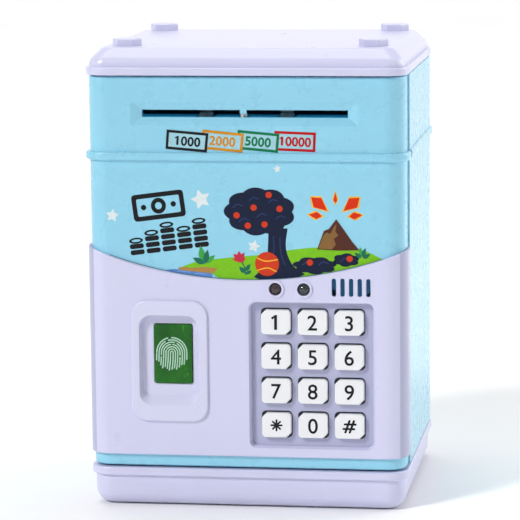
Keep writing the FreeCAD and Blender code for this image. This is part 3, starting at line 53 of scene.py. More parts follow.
class Finish:
    """A node material around one Principled shader. Patterns use object coordinates, in metres."""

    def __init__(self, name, **sockets):
        self.material = bpy.data.materials.new(name)
        self.material.use_nodes = True
        self.tree = self.material.node_tree
        self.shader = next(n for n in self.tree.nodes if n.type == "BSDF_PRINCIPLED")
        for socket, value in sockets.items():
            self.shader.inputs[socket.replace("_", " ")].default_value = value
        self.place = self.add("ShaderNodeTexCoord").outputs["Object"]

    def add(self, kind, **settings):
        node = self.tree.nodes.new(kind)
        for name, value in settings.items():
            setattr(node, name, value)
        return node

    def link(self, source, target):
        self.tree.links.new(source, target)

    def stretched(self, x, y, z):
        node = self.add("ShaderNodeMapping")
        node.inputs["Scale"].default_value = (x, y, z)
        self.link(self.place, node.inputs["Vector"])
        return node.outputs["Vector"]

    def noise(self, scale, detail=3.0, roughness=0.55, place=None):
        node = self.add("ShaderNodeTexNoise")
        node.inputs["Scale"].default_value = scale
        node.inputs["Detail"].default_value = detail
        node.inputs["Roughness"].default_value = roughness
        self.link(place or self.place, node.inputs["Vector"])
        return node.outputs["Fac"]

    def spread(self, value, low, high, start=0.3, end=0.7):
        """The value mapped from start..end to low..high."""
        node = self.add("ShaderNodeMapRange")
        for name, number in (("From Min", start), ("From Max", end), ("To Min", low), ("To Max", high)):
            node.inputs[name].default_value = number
        self.link(value, node.inputs["Value"])
        return node.outputs["Result"]

    def blend(self, fac, first, second):
        """Mix of two colours or colour outputs."""
        node = self.add("ShaderNodeMix", data_type="RGBA")
        self.link(fac, node.inputs[0])
        for socket, colour in ((node.inputs[6], first), (node.inputs[7], second)):
            if isinstance(colour, tuple):
                socket.default_value = (*colour, 1.0)
            else:
                self.link(colour, socket)
        return node.outputs[2]

    def colour(self, output):
        self.link(output, self.shader.inputs["Base Color"])
        return self

    def rough(self, output):
        self.link(output, self.shader.inputs["Roughness"])
        return self

    def bump(self, height, strength, distance, edge=0.0):
        """Surface relief, over edges that are softened by a bevel of the given radius."""
        node = self.add("ShaderNodeBump")
        node.inputs["Strength"].default_value = strength
        node.inputs["Distance"].default_value = distance
        self.link(height, node.inputs["Height"])
        if edge:
            bevel = self.add("ShaderNodeBevel", samples=4)
            bevel.inputs["Radius"].default_value = edge
            self.link(bevel.outputs["Normal"], node.inputs["Normal"])
        self.link(node.outputs["Normal"], self.shader.inputs["Normal"])
        return self


def linear(red, green, blue):
    """Linear colour from 0..255 display values."""
    return tuple((c / 255 / 12.92) if c <= 10 else ((c / 255 + 0.055) / 1.055) ** 2.4
                 for c in (red, green, blue))


def scaled(colour, factor):
    return tuple(min(1.0, part * factor) for part in colour)


def moulded(name, colour, gloss=0.3, grain=0.012, edge=0.00025, variation=0.012, painted_shade=None, **sockets):
    """Injection moulded plastic: soft flow marks, a fine skin and a slightly uneven gloss.

    An optional (y in mm, colour) pair paints shade: the surfaces that lie behind that plane get that
    colour, in place of the shade that falls in recesses.
    """
    finish = Finish(name, IOR=1.49, **sockets)
    flow = finish.noise(22, 4, 0.6, finish.stretched(1, 1, 0.35))
    body = finish.blend(finish.spread(flow, 0, 1), scaled(colour, 1 - variation),
                        scaled(colour, 1 + variation))
    # Painted shade: surfaces behind the plane turn to the darker colour, standing in for the shade in
    # recesses.
    if painted_shade:
        split = finish.add("ShaderNodeSeparateXYZ")
        finish.link(finish.place, split.inputs[0])
        plane, tint = painted_shade
        behind = finish.spread(split.outputs["Y"], 0, 1, (plane - 0.1) * MM, (plane + 0.1) * MM)
        body = finish.blend(behind, body, tint)
    finish.colour(body)
    finish.rough(finish.spread(finish.noise(140, 5, 0.65), gloss - 0.03, gloss + 0.04))
    finish.bump(finish.noise(1500, 3), grain, 0.0001, edge)
    return finish.material


def printed(name, colour, gloss=0.38):
    """Pad-printed ink: a little uneven in density, over the plastic's skin."""
    finish = Finish(name, IOR=1.5, Specular_IOR_Level=0.22)
    density = finish.noise(900, 4, 0.6)
    finish.colour(finish.blend(finish.spread(density, 0, 1), scaled(colour, 0.93), scaled(colour, 1.07)))
    finish.rough(finish.spread(finish.noise(420, 3), gloss - 0.05, gloss + 0.08))
    finish.bump(density, 0.03, 0.0001)
    return finish.material


def plated(name, colour, gloss=0.28, direction=(1, 1, 1)):
    """Zinc or nickel plating with fine drawing marks."""
    finish = Finish(name, Metallic=1.0)
    marks = finish.noise(1400, 4, 0.7, finish.stretched(*direction))
    clouds = finish.noise(160, 3)
    finish.colour(finish.blend(finish.spread(clouds, 0, 1), scaled(colour, 0.86), colour))
    finish.rough(finish.spread(marks, gloss - 0.08, gloss + 0.14))
    finish.bump(marks, 0.05, 0.0001)
    return finish.material


def rubber(name, colour):
    """Soft grey rubber with a dusty, pitted skin."""
    finish = Finish(name, IOR=1.45)
    pits = finish.noise(1900, 4, 0.7)
    dust = finish.noise(260, 5, 0.7)
    finish.colour(finish.blend(finish.spread(dust, 0, 1), colour, scaled(colour, 1.35)))
    finish.rough(finish.spread(pits, 0.62, 0.85))
    finish.bump(pits, 0.18, 0.0002)
    return finish.material


def window_plastic(name, colour, dark):
    """Tinted glossy window: cloudy in depth, with a few bright slanted streaks that are partly scuffs on
    its film and partly a painted reflection.
    """
    finish = Finish(name, IOR=1.48, Specular_IOR_Level=0.3)
    clouds = finish.noise(70, 4, 0.6, finish.stretched(1.5, 1, 0.7))
    body = finish.blend(finish.spread(clouds, 0, 1, 0.35, 0.68), dark, colour)
    # Bright slanted streaks: partly scuffs on the film, partly painted reflection.
    scuffs_and_sheen = finish.noise(420, 4, 0.7, finish.stretched(3.0, 1, 0.5))
    finish.colour(finish.blend(finish.spread(scuffs_and_sheen, 0, 0.8, 0.63, 0.72), body, linear(108, 176, 40)))
    finish.rough(finish.spread(finish.noise(300, 3), 0.2, 0.34))
    finish.bump(finish.noise(500, 3), 0.03, 0.0002, 0.0003)
    return finish.material


def epoxy(name, colour):
    """Clear lamp epoxy, faintly clouded."""
    finish = Finish(name, IOR=1.54, Transmission_Weight=0.92)
    cloud = finish.noise(700, 3)
    finish.colour(finish.blend(finish.spread(cloud, 0, 1), colour, scaled(colour, 0.88)))
    finish.rough(finish.spread(finish.noise(900, 2), 0.03, 0.08))
    return finish.material


def circuit(name):
    """Solder mask over copper tracks."""
    finish = Finish(name, IOR=1.5)
    tracks = finish.add("ShaderNodeTexBrick")
    tracks.inputs["Scale"].default_value = 160
    tracks.inputs["Mortar Size"].default_value = 0.06
    tracks.inputs["Color1"].default_value = (*linear(24, 92, 52), 1)
    tracks.inputs["Color2"].default_value = (*linear(30, 104, 60), 1)
    tracks.inputs["Mortar"].default_value = (*linear(58, 140, 84), 1)
    finish.link(finish.place, tracks.inputs["Vector"])
    finish.colour(finish.blend(finish.spread(finish.noise(40, 4), 0, 0.35), tracks.outputs["Color"],
                               linear(16, 70, 40)))
    finish.rough(finish.spread(finish.noise(500, 3), 0.28, 0.42))
    finish.bump(tracks.outputs["Fac"], 0.12, 0.0001)
    return finish.material


BLUE = moulded("moulded_blue", linear(143, 209, 233), gloss=0.28, Coat_Weight=0.3, Coat_Roughness=0.2)
# The note guide glows faintly: painted light, standing in for light in the slot's shaded interior.
GUIDE = moulded("moulded_blue_painted_glow", linear(90, 190, 220), gloss=0.3,
                Emission_Color=(*linear(8, 66, 88), 1.0), Emission_Strength=0.75)
TRIM = moulded("moulded_lavender", linear(210, 210, 238), gloss=0.3, Coat_Weight=0.15, Coat_Roughness=0.2)
# The fascia is painted a darker lavender behind the well's floor plane: painted shade in the keypad well.
FASCIA = moulded("moulded_lavender_fascia", linear(210, 210, 238), gloss=0.3,
                 painted_shade=(-56.7, linear(178, 180, 210)),
                 Coat_Weight=0.15, Coat_Roughness=0.2)
BEZEL = moulded("moulded_lavender_bezel", linear(212, 212, 238), gloss=0.3, Coat_Weight=0.15,
                Coat_Roughness=0.2)
# The keys are painted dark teal behind the fascia's floor plane: painted shade on the flanges seen through
# the gaps round the keys.
KEY = moulded("moulded_key_white", linear(236, 237, 240), gloss=0.34, edge=0.0003,
              painted_shade=(-56.3, linear(52, 78, 88)))
WHITE = moulded("moulded_inner_white", linear(226, 227, 228), gloss=0.42, grain=0.05)
GEAR = moulded("moulded_gear_white", linear(232, 231, 224), gloss=0.36, edge=0.0001)
DARK = moulded("moulded_black", linear(34, 34, 38), gloss=0.4, grain=0.06, variation=0.12)
# The speaker glows faintly: painted light, so the grille slots show shaded blue rather than black.
CONE = moulded("speaker_paper_painted_glow", linear(60, 140, 180), gloss=0.5, grain=0.1, variation=0.08,
               Emission_Color=(*linear(12, 44, 68), 1.0), Emission_Strength=0.5)
WINDOW = window_plastic("window_green", linear(28, 112, 24), linear(18, 84, 20))
LAMP_RED = epoxy("lamp_clear_left", linear(190, 160, 170))
LAMP_GREY = epoxy("lamp_clear_right", linear(180, 188, 196))
ROLLER = rubber("rubber_roller", linear(120, 136, 140))
MAT = rubber("rubber_mat", linear(120, 122, 126))
STEEL = plated("plated_zinc", linear(206, 208, 212))
SHAFT = plated("ground_steel", linear(196, 198, 202), 0.2, (0.05, 1, 1))
SPRING = plated("nickel_contact", linear(214, 210, 198), 0.22)
BOARD = circuit("circuit_board")
JACKET = moulded("cell_jacket_dark", linear(38, 40, 46), gloss=0.22, grain=0.01, edge=0, variation=0.1)
JACKET_BAND = printed("cell_jacket_band", linear(196, 148, 62), 0.25)

INK = {name: printed(f"ink_{name}", linear(*rgb)) for name, rgb in {
    "black": (20, 20, 26), "orange": (206, 138, 16), "green": (0, 118, 72), "red": (186, 8, 18),
    "navy": (16, 28, 56), "navy_light": (36, 54, 98), "fruit": (206, 58, 26),
    "hill": (122, 192, 28), "water": (92, 140, 206), "shore": (176, 134, 70), "leaf": (62, 160, 74),
    "leaf_dark": (30, 108, 82), "rock": (134, 98, 54), "rock_dark": (82, 42, 32), "sun": (246, 186, 54),
    "ray": (214, 46, 10), "petal": (196, 44, 66), "star": (222, 232, 234), "mint": (176, 214, 190),
    "ripple": (138, 178, 226), "field": (160, 206, 218), "shadow": (70, 118, 140)}.items()}


# ---------------------------------------------------------------- meshes

def piece(name, mesh_source, material, body, smooth=False):
    """A new piece from a bmesh or a mesh; it rides on the body."""
    if isinstance(mesh_source, bmesh.types.BMesh):
        bmesh.ops.recalc_face_normals(mesh_source, faces=mesh_source.faces)
        mesh = bpy.data.meshes.new(name)
        mesh_source.to_mesh(mesh)
        mesh_source.free()
    else:
        mesh = mesh_source
    mesh.materials.clear()
    mesh.materials.append(material)
    if smooth:
        mesh.shade_smooth()
        mesh.set_sharp_from_angle(angle=math.radians(35))
    item = bpy.data.objects.new(name, mesh)
    scene.collection.objects.link(item)
    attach(item, body)
    return item


def extruded(bm, outline, front, back):
    """Closed flat plate: the outline is (x, z) in mm, front and back are y in mm."""
    near = [bm.verts.new((x * MM, front * MM, z * MM)) for x, z in outline]
    far = [bm.verts.new((x * MM, back * MM, z * MM)) for x, z in outline]
    bm.faces.new(near)
    bm.faces.new(far[::-1])
    count = len(outline)
    for index in range(count):
        after = (index + 1) % count
        bm.faces.new((near[index], far[index], far[after], near[after]))


def ring_plate(bm, outer, inner, front, back):
    """Closed flat frame between two outlines with the same number of points."""
    loops = [[bm.verts.new((x * MM, y * MM, z * MM)) for x, z in outline]
             for outline, y in ((outer, front), (inner, front), (inner, back), (outer, back))]
    count = len(outer)
    for first, second in zip(loops, loops[1:] + loops[:1]):
        for index in range(count):
            after = (index + 1) % count
            bm.faces.new((first[index], first[after], second[after], second[index]))


def smooth_line(points, steps=8):
    """Open smooth curve through the points."""
    ends = [2 * Vector(points[0]) - Vector(points[1])] + [Vector(p) for p in points]
    ends.append(2 * Vector(points[-1]) - Vector(points[-2]))
    result = []
    for a, b, c, d in zip(ends, ends[1:], ends[2:], ends[3:]):
        for step in range(steps):
            t = step / steps
            result.append(tuple(0.5 * (2 * b + (c - a) * t + (2 * a - 5 * b + 4 * c - d) * t * t
                                       + (3 * b - a - 3 * c + d) * t ** 3)))
    return result + [tuple(points[-1])]


def disc(x, z, radius, count=32, squash=1.0):
    """Outline of a disc, flattened by the squash."""
    return [(x + radius * math.cos(math.tau * i / count),
             z + squash * radius * math.sin(math.tau * i / count))
            for i in range(count)]


def stroke(points, width, ends=5):
    """Outline of a line of constant width with round ends."""
    half = width / 2
    left, right = [], []
    for index, point in enumerate(points):
        before = Vector(points[max(index - 1, 0)])
        after = Vector(points[min(index + 1, len(points) - 1)])
        along = (after - before).normalized()
        side = Vector((-along.y, along.x)) * half
        left.append(tuple(Vector(point) + side))
        right.append(tuple(Vector(point) - side))

    def cap(centre, along):
        angle = math.atan2(along.y, along.x) + math.pi / 2
        return [tuple(Vector(centre) + half * Vector((math.cos(angle - math.pi * k / ends),
                                                      math.sin(angle - math.pi * k / ends))))
                for k in range(1, ends)]
    head = (Vector(points[-1]) - Vector(points[-2])).normalized()
    tail = (Vector(points[0]) - Vector(points[1])).normalized()
    return left + cap(points[-1], head) + right[::-1] + cap(points[0], tail)


def turned(points, angle, centre=(0, 0)):
    """Points turned by an angle in degrees about a centre."""
    c, s = math.cos(math.radians(angle)), math.sin(math.radians(angle))
    return [(centre[0] + (x - centre[0]) * c - (z - centre[1]) * s,
             centre[1] + (x - centre[0]) * s + (z - centre[1]) * c) for x, z in points]


def rounded_corners(points, radius, steps=3):
    """Polygon with each corner cut by a small arc."""
    result = []
    count = len(points)
    for index in range(count):
        before, here, after = (Vector(points[(index + shift) % count]) for shift in (-1, 0, 1))
        a = here + (before - here).normalized() * radius
        b = here + (after - here).normalized() * radius
        for step in range(steps + 1):
            t = step / steps
            result.append(tuple((1 - t) ** 2 * a + 2 * t * (1 - t) * here + t * t * b))
    return result


def lathe(bm, profile, spot, axis, segments=40):
    """Surface of revolution; the profile is (radius, height) in mm from axis to axis."""
    turn = {"X": Matrix.Rotation(math.pi / 2, 4, "Y"), "Y": Matrix.Rotation(-math.pi / 2, 4, "X"),
            "Z": Matrix.Identity(4)}[axis]
    place = Matrix.Translation(Vector(spot) * MM) @ turn
    rows = []
    for radius, height in profile:
        if radius == 0:
            rows.append([bm.verts.new(place @ Vector((0, 0, height * MM)))])
        else:
            rows.append([bm.verts.new(place @ Vector((radius * MM * math.cos(math.tau * k / segments),
                                                      radius * MM * math.sin(math.tau * k / segments),
                                                      height * MM))) for k in range(segments)])
    for low, high in zip(rows, rows[1:]):
        for k in range(segments):
            after = (k + 1) % segments
            corners = [low[k % len(low)], low[after % len(low)], high[after % len(high)],
                       high[k % len(high)]]
            unique = list(dict.fromkeys(corners))
            if len(unique) > 2:
                bm.faces.new(unique)


# ---------------------------------------------------------------- CAD nodes

def paint(material, *nodes):
    for node in nodes:
        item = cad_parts[node]
        item.data.materials.clear()
        item.data.materials.append(material)


KEYS = ["key_1", "key_2", "key_3", "key_4", "key_5", "key_6", "key_7", "key_8", "key_9", "key_star",
        "key_0",
        "key_hash"]
paint(BLUE, "body_shell", "door_panel")
paint(TRIM, "lid", "base_tray")
paint(FASCIA, "front_fascia")
paint(BEZEL, "fingerprint_bezel")
paint(KEY, *KEYS)
paint(WINDOW, "fingerprint_button")
paint(LAMP_RED, "indicator_lamp_left")
paint(LAMP_GREY, "indicator_lamp_right")
paint(GUIDE, "note_guide")
paint(WHITE, "door_inner_cover", "battery_box", "battery_cover", "lock_housing", "note_lever", "strike")
paint(GEAR, "feed_gear", "pinch_gear", "drive_gear", "motor_pinion", "lock_pinion")
paint(MAT, "keypad_mat")
paint(BOARD, "main_board")
paint(CONE, "speaker")
paint(DARK, "fingerprint_switch")
paint(STEEL, "hinge_pin_upper", "hinge_pin_lower", "lever_pin", "feed_motor", "lock_motor", "latch_bolt")
paint(SHAFT, "feed_shaft", "pinch_shaft")


# ---------------------------------------------------------------- print on the door

DOOR_FRONT = -57.3
LAYER = 0.02     # between one layer of print and the next
STEP = 0.0015    # between the outlines of one layer
RAISED = 0.05    # print that stands out from its surface
SUNK = 0.03      # print that goes into its surface
ARC_X, ARC_Z, ARC_R = 0.8, 94.8 + 174.5, 174.5


def arc_height(x):
    """Height of the fascia's upper edge at x, in mm."""
    return ARC_Z - math.sqrt(ARC_R ** 2 - (x - ARC_X) ** 2)


def decal(name, outlines, ink, layer=0, frames=()):
    """Printed shape on the door: closed outlines, and frames as (outer, inner) pairs."""
    bm = bmesh.new()
    front = DOOR_FRONT - RAISED - layer * LAYER
    for index, outline in enumerate(outlines):
        extruded(bm, outline, front - index * STEP, DOOR_FRONT + SUNK)
    for outer, inner in frames:
        ring_plate(bm, outer, inner, front, DOOR_FRONT + SUNK)
    return piece(name, bm, INK[ink], "door")


def inset(corners, size):
    """Quadrilateral moved inwards by a border of constant width."""
    result = []
    for index in range(4):
        here, before, after = (Vector(corners[(index + shift) % 4]) for shift in (0, -1, 1))
        to_before, to_after = (before - here).normalized(), (after - here).normalized()
        sine = abs(to_before.x * to_after.y - to_before.y * to_after.x)
        result.append(tuple(here + (to_before + to_after) * size / sine))
    return result


FIGURE_HEIGHT = 0.7    # of a figure, in units of its type size
ONE = [(-0.06, 0.0), (0.06, 0.0), (0.06, 0.7), (-0.02, 0.7), (-0.2, 0.57), (-0.155, 0.485), (-0.06, 0.55)]


def figure_shape(text, weight):
    """Mesh of one printed figure, one unit thick and centred across; a heavier weight is bolder."""
    if text == "1":
        bm = bmesh.new()
        grown = [(x + math.copysign(weight, x), z) for x, z in ONE]
        layers = [[bm.verts.new((x, z, level)) for x, z in grown] for level in (0.5, -0.5)]
        bm.faces.new(layers[0])
        bm.faces.new(layers[1][::-1])
        for k in range(len(ONE)):
            after = (k + 1) % len(ONE)
            bm.faces.new((layers[0][k], layers[1][k], layers[1][after], layers[0][after]))
        return bm
    curve = bpy.data.curves.new("figure", "FONT")
    curve.body = text
    curve.resolution_u = 6
    curve.extrude = 0.5
    holder = bpy.data.objects.new("figure", curve)
    scene.collection.objects.link(holder)
    bpy.context.view_layer.update()
    mesh = bpy.data.meshes.new_from_object(holder.evaluated_get(bpy.context.evaluated_depsgraph_get()))
    bpy.data.objects.remove(holder)
    bm = bmesh.new()
    bm.from_mesh(mesh)
    bpy.data.meshes.remove(mesh)
    bmesh.ops.remove_doubles(bm, verts=bm.verts, dist=1e-5)
    bmesh.ops.recalc_face_normals(bm, faces=bm.faces)
    across = [vert.co.x for vert in bm.verts]
    middle = (min(across) + max(across)) / 2
    pushes = []
    for vert in bm.verts:
        sides = [face.normal for face in vert.link_faces if abs(face.normal.z) < 0.5]
        outward = sum(sides, Vector()).normalized()
        pushes.append(outward * weight / max(0.5, outward.dot(sides[0])))
    for vert, push in zip(bm.verts, pushes):
        vert.co.x += push.x - middle
        vert.co.y += push.y
    return bm


def glyphs(name, text, height, spot, plane, ink, body, turn=0.0, weight=0.0, pace=0.0):
    """Printed figures centred on the spot; the height is that of a figure and pace their spacing, in mm."""
    whole = bmesh.new()
    size = height / FIGURE_HEIGHT
    for index, character in enumerate(text):
        bm = figure_shape(character, weight)
        shift = (index - (len(text) - 1) / 2) * pace
        for vert in bm.verts:
            (x, z), = turned([(shift + vert.co.x * size, (vert.co.y - FIGURE_HEIGHT / 2) * size)], turn)
            y = plane - RAISED if vert.co.z > 0 else plane + SUNK
            vert.co = ((spot[0] + x) * MM, y * MM, (spot[1] + z) * MM)
        mesh = bpy.data.meshes.new("figure")
        bm.to_mesh(mesh)
        bm.free()
        whole.from_mesh(mesh)
        bpy.data.meshes.remove(mesh)
    return piece(name, whole, INK[ink], body)


def make_number_frames():
    """Four note values in tilted frames, each frame laid over the next."""
    height, weight, border, margin = 3.6, 0.028, 1.05, 0.4
    frames = [("red", [(12.4, 155.6), (29.2, 155.0), (28.9, 147.1), (11.9, 147.7)],
               "10000", (20.7, 151.3), -2.4, 2.62),
              ("green", [(-2.5, 155.9), (14.4, 154.4), (13.7, 146.7), (-3.2, 148.2)],
               "5000", (5.6, 151.2), -4.6, 2.7),
              ("orange", [(-16.9, 156.0), (-0.1, 154.4), (-0.8, 146.7), (-17.6, 148.2)],
               "2000", (-8.9, 151.3), -4.6, 2.7),
              ("black", [(-31.6, 155.9), (-14.5, 154.5), (-15.3, 146.7), (-32.2, 148.1)],
               "1000", (-23.2, 151.2), -4.6, 2.7)]
    for order, (ink, corners, text, spot, turn, pace) in enumerate(frames):
        layer = 2 * order + 1
        decal(f"value_field_{text}", [inset(corners, margin)], "field", layer - 1)
        decal(f"value_frame_{text}", (), ink, layer, [(corners, inset(corners, border))])
        glyphs(f"value_number_{text}", text, height, spot, DOOR_FRONT - layer * LAYER, ink, "door", turn,
               weight, pace)


def star_points(x, z, radius, turn):
    """Five-pointed star with blunt tips."""
    points = []
    for index in range(10):
        reach = radius if index % 2 == 0 else radius * 0.5
        angle = math.radians(90 + turn + 36 * index)
        points.append((x + reach * math.cos(angle), z + reach * math.sin(angle)))
    return rounded_corners(points, radius * 0.09, 2)


def rectangle(x, z, width, height):
    """Corners of an upright rectangle; x is its middle and z its foot."""
    left, right = x - width / 2, x + width / 2
    return [(left, z), (right, z), (right, z + height), (left, z + height)]


def make_banknote():
    """Tilted banknote: a thick frame, a ring and two dots."""
    tilt, centre = 7.5, (-35.5, 124.8)
    width, height, border = 21.6, 11.0, 1.9
    coin, hole, dot, dot_reach, squash = 3.1, 1.4, 1.1, 6.2, 1.05
    note = rectangle(centre[0], centre[1] - height / 2, width, height)
    outer = turned(rounded_corners(note, 1.6), tilt, centre)
    inner = turned(rounded_corners(inset(note, border), 0.7), tilt, centre)
    dots = [turned(disc(centre[0] + side * dot_reach, centre[1], dot), tilt, centre) for side in (-1, 1)]
    ring = (disc(*centre, coin, squash=squash), disc(*centre, hole, squash=squash))
    decal("picture_banknote", dots, "black", 0, [(outer, inner), ring])


def make_coin_stacks():
    """Tilted row of coin stacks, each with a coin seen from above on top."""
    tilt, centre = 7.5, (-32.2, 111.3)
    first, pitch, foot = -45.0, 6.7, 106.2
    width, thick, rise, lift = 5.8, 2.0, 2.5, 0.8
    coins, faces = [], []
    for column, count in enumerate((2, 3, 4, 3, 4)):
        x = first + column * pitch
        coins += [turned(rounded_corners(rectangle(x, foot + level * rise, width, thick), 0.95, 5), tilt,
                         centre)
                  for level in range(count)]
        z = foot + count * rise + lift
        faces.append((turned(disc(x, z, 2.9, squash=0.42), tilt, centre),
                      turned(disc(x, z, 1.9, squash=0.28), tilt, centre)))
    decal("picture_coin_stacks", coins, "black", 0, faces)


def make_scenery():
    """Hill, shore and water above the fascia, and a painted shadow line along its upper edge, where the
    fascia stands proud of the door.
    """
    top = smooth_line([(-26.4, 99.7), (-20.0, 102.0), (-11.9, 103.2), (-2.0, 104.3), (7.9, 105.3),
                       (17.0, 107.0), (26.9, 108.2), (38.0, 108.4), (48.3, 107.2), (55.0, 104.4)], 6)
    low = [(x, arc_height(x)) for x in [55.6 - 3.0 * k for k in range(24)] if x > -13.0]
    decal("picture_hill", [top + low + [(-13.6, 97.0), (-12.0, 99.0), (-18.0, 99.4)]], "hill", 1)
    shore_top = smooth_line([(-27.6, 99.5), (-25.0, 99.7), (-21.0, 99.5), (-17.0, 99.9), (-11.0, 99.3)], 4)
    shore_low = [(-12.0, 98.4), (-13.6, 97.2), (-16.0, 97.5), (-21.0, 97.9), (-27.6, 98.6)]
    decal("picture_shore", [shore_top + shore_low], "shore", 2)
    water_top = [(-33.2, arc_height(-33.2) + 0.2), (-29.8, 98.9), (-27.0, 98.7), (-21.0, 98.0),
                 (-13.4, 97.4)]
    water_low = [(x, arc_height(x)) for x in (-13.8, -17.0, -20.0, -23.0, -26.0, -29.0, -31.5)]
    decal("picture_water", [water_top + water_low], "water", 0)
    ripples = [stroke(smooth_line([(x, z), (x + 1.6, z + 0.18), (x + 3.4, z - 0.1), (x + 5.0, z - 0.2)], 4),
                      0.22)
               for x, z in ((-28.0, 97.9), (-20.8, 97.1))]
    decal("picture_ripples", ripples, "ripple", 1)
    # Painted shadow: a dark line along the fascia's upper edge, in place of the shade under its proud edge.
    edge = [(x, arc_height(x) + 0.1) for x in [-56.0 + 2.0 * k for k in range(57)]]
    decal("painted_shadow_over_fascia", [stroke(edge, 0.26)], "shadow", 12)


def leaf(base, tip, bulge):
    """Pointed leaf from base to tip."""
    base, tip = Vector(base), Vector(tip)
    along = tip - base
    side = Vector((-along.y, along.x)) * bulge
    left = [base + along * t + side * math.sin(math.pi * t ** 0.8)
            for t in (0.15, 0.3, 0.45, 0.6, 0.75, 0.88)]
    right = [base + along * t - side * math.sin(math.pi * t ** 0.8)
             for t in (0.88, 0.75, 0.6, 0.45, 0.3, 0.15)]
    return [tuple(point) for point in [base] + left + [tip] + right]


def make_plants():
    """Two sprouts and a flower on the hill."""
    light = [leaf((-17.2, 101.6), (-18.4, 108.6), 0.2), leaf((-16.4, 101.4), (-12.4, 104.8), 0.2),
             leaf((47.4, 105.0), (46.8, 108.8), 0.2)]
    dark = [leaf((-16.6, 101.2), (-15.4, 107.0), 0.2), leaf((-16.8, 101.2), (-21.6, 103.6), 0.22),
            leaf((47.8, 104.6), (49.0, 108.4), 0.22), leaf((47.4, 104.4), (44.6, 106.4), 0.24),
            leaf((48.0, 104.2), (51.0, 106.0), 0.24)]
    decal("picture_sprout_light", light, "leaf", 3)
    decal("picture_sprout_dark", dark, "leaf_dark", 4)
    stem = smooth_line([(0.1, 97.0), (-0.2, 99.6), (-1.2, 101.6), (-2.0, 103.0)], 5)
    leaves = [leaf((0.0, 97.6), (-2.6, 100.2), 0.26), leaf((0.1, 98.4), (2.0, 101.4), 0.24),
              leaf((0.1, 97.2), (2.6, 98.6), 0.26)]
    decal("picture_flower_stem", [stroke(stem, 0.5)] + leaves, "leaf_dark", 3)
    tips = ((168, 3.2), (150, 2.5), (132, 4.0), (114, 2.9), (96, 4.3), (78, 2.9), (62, 4.1), (44, 2.4),
            (24, 2.6))
    bloom = [(-2.2 + reach * math.cos(math.radians(angle)), 102.4 + reach * math.sin(math.radians(angle)))
             for angle, reach in tips]
    decal("picture_flower", [[(-2.2, 101.9), (-3.6, 102.2)] + bloom + [(-0.9, 102.0)]], "petal", 4)


def scalloped(x, z, wide, tall, bumps, depth, turn=0.0):
    """Leafy outline: an ellipse with rounded bumps."""
    outline = []
    for k in range(bumps * 10):
        angle = math.tau * k / (bumps * 10)
        bulge = 1 + depth * abs(math.sin(angle * bumps / 2 + turn))
        outline.append((x + wide * bulge * math.cos(angle), z + tall * bulge * math.sin(angle)))
    return outline


def make_tree():
    """Rounded navy tree with two bushes beside it, and a ball at its foot."""
    trunk = smooth_line([(9.6, 116.0), (9.4, 110.0), (8.8, 104.0), (6.4, 99.2), (3.4, 96.0)], 5)
    trunk += [(x, arc_height(x)) for x in (6.0, 10.0, 14.0, 18.0, 21.6)]
    trunk += smooth_line([(24.4, 97.4), (19.6, 100.8), (17.2, 105.6), (16.6, 110.0), (17.4, 116.0)], 5)
    decal("picture_tree_trunk", [trunk], "navy", 2)
    decal("picture_tree_crown", [scalloped(6.0, 122.8, 13.2, 8.9, 9, 0.11)], "navy", 3)
    decal("picture_bush_near", [scalloped(28.4, 101.0, 7.6, 3.0, 7, 0.2, 0.6)], "navy", 4)
    decal("picture_bush_far", [scalloped(41.2, 103.4, 4.6, 2.3, 6, 0.2, 0.3)], "navy", 4)
    tufts = ((-4.8, 124.4), (1.8, 127.2), (9.6, 126.4), (-2.4, 118.6), (5.0, 120.6), (12.6, 119.8),
             (23.4, 101.2), (30.0, 101.2), (39.0, 102.8))
    sprigs = [smooth_line([(x, z), (x + 1.8, z + 1.3), (x + 3.8, z + 0.7)], 6) for x, z in tufts]
    bark = [smooth_line([(11.6, 112.6), (11.8, 108.0), (11.2, 104.0)], 5),
            smooth_line([(14.2, 112.0), (14.6, 106.0), (16.2, 101.0)], 5)]
    decal("picture_tree_marks", [stroke(line, 0.5) for line in sprigs + bark], "navy_light", 5)
    fruits = ((-3.4, 121.2), (3.6, 124.4), (8.0, 117.6), (14.2, 124.0), (1.2, 117.0), (9.8, 129.6),
              (26.4, 102.2), (42.6, 103.9))
    decal("picture_fruits", [disc(x, z, 1.3, 20) for x, z in fruits], "fruit", 6)
    decal("picture_ball", [disc(8.9, 101.4, 4.9, 40)], "fruit", 7)
    seams = [smooth_line([(4.9, 103.8), (8.4, 102.6), (13.2, 103.2)], 6),
             smooth_line([(5.0, 98.8), (9.2, 99.8), (12.6, 98.4)], 6)]
    decal("picture_ball_bands", [stroke(line, 0.45) for line in seams], "sun", 8)


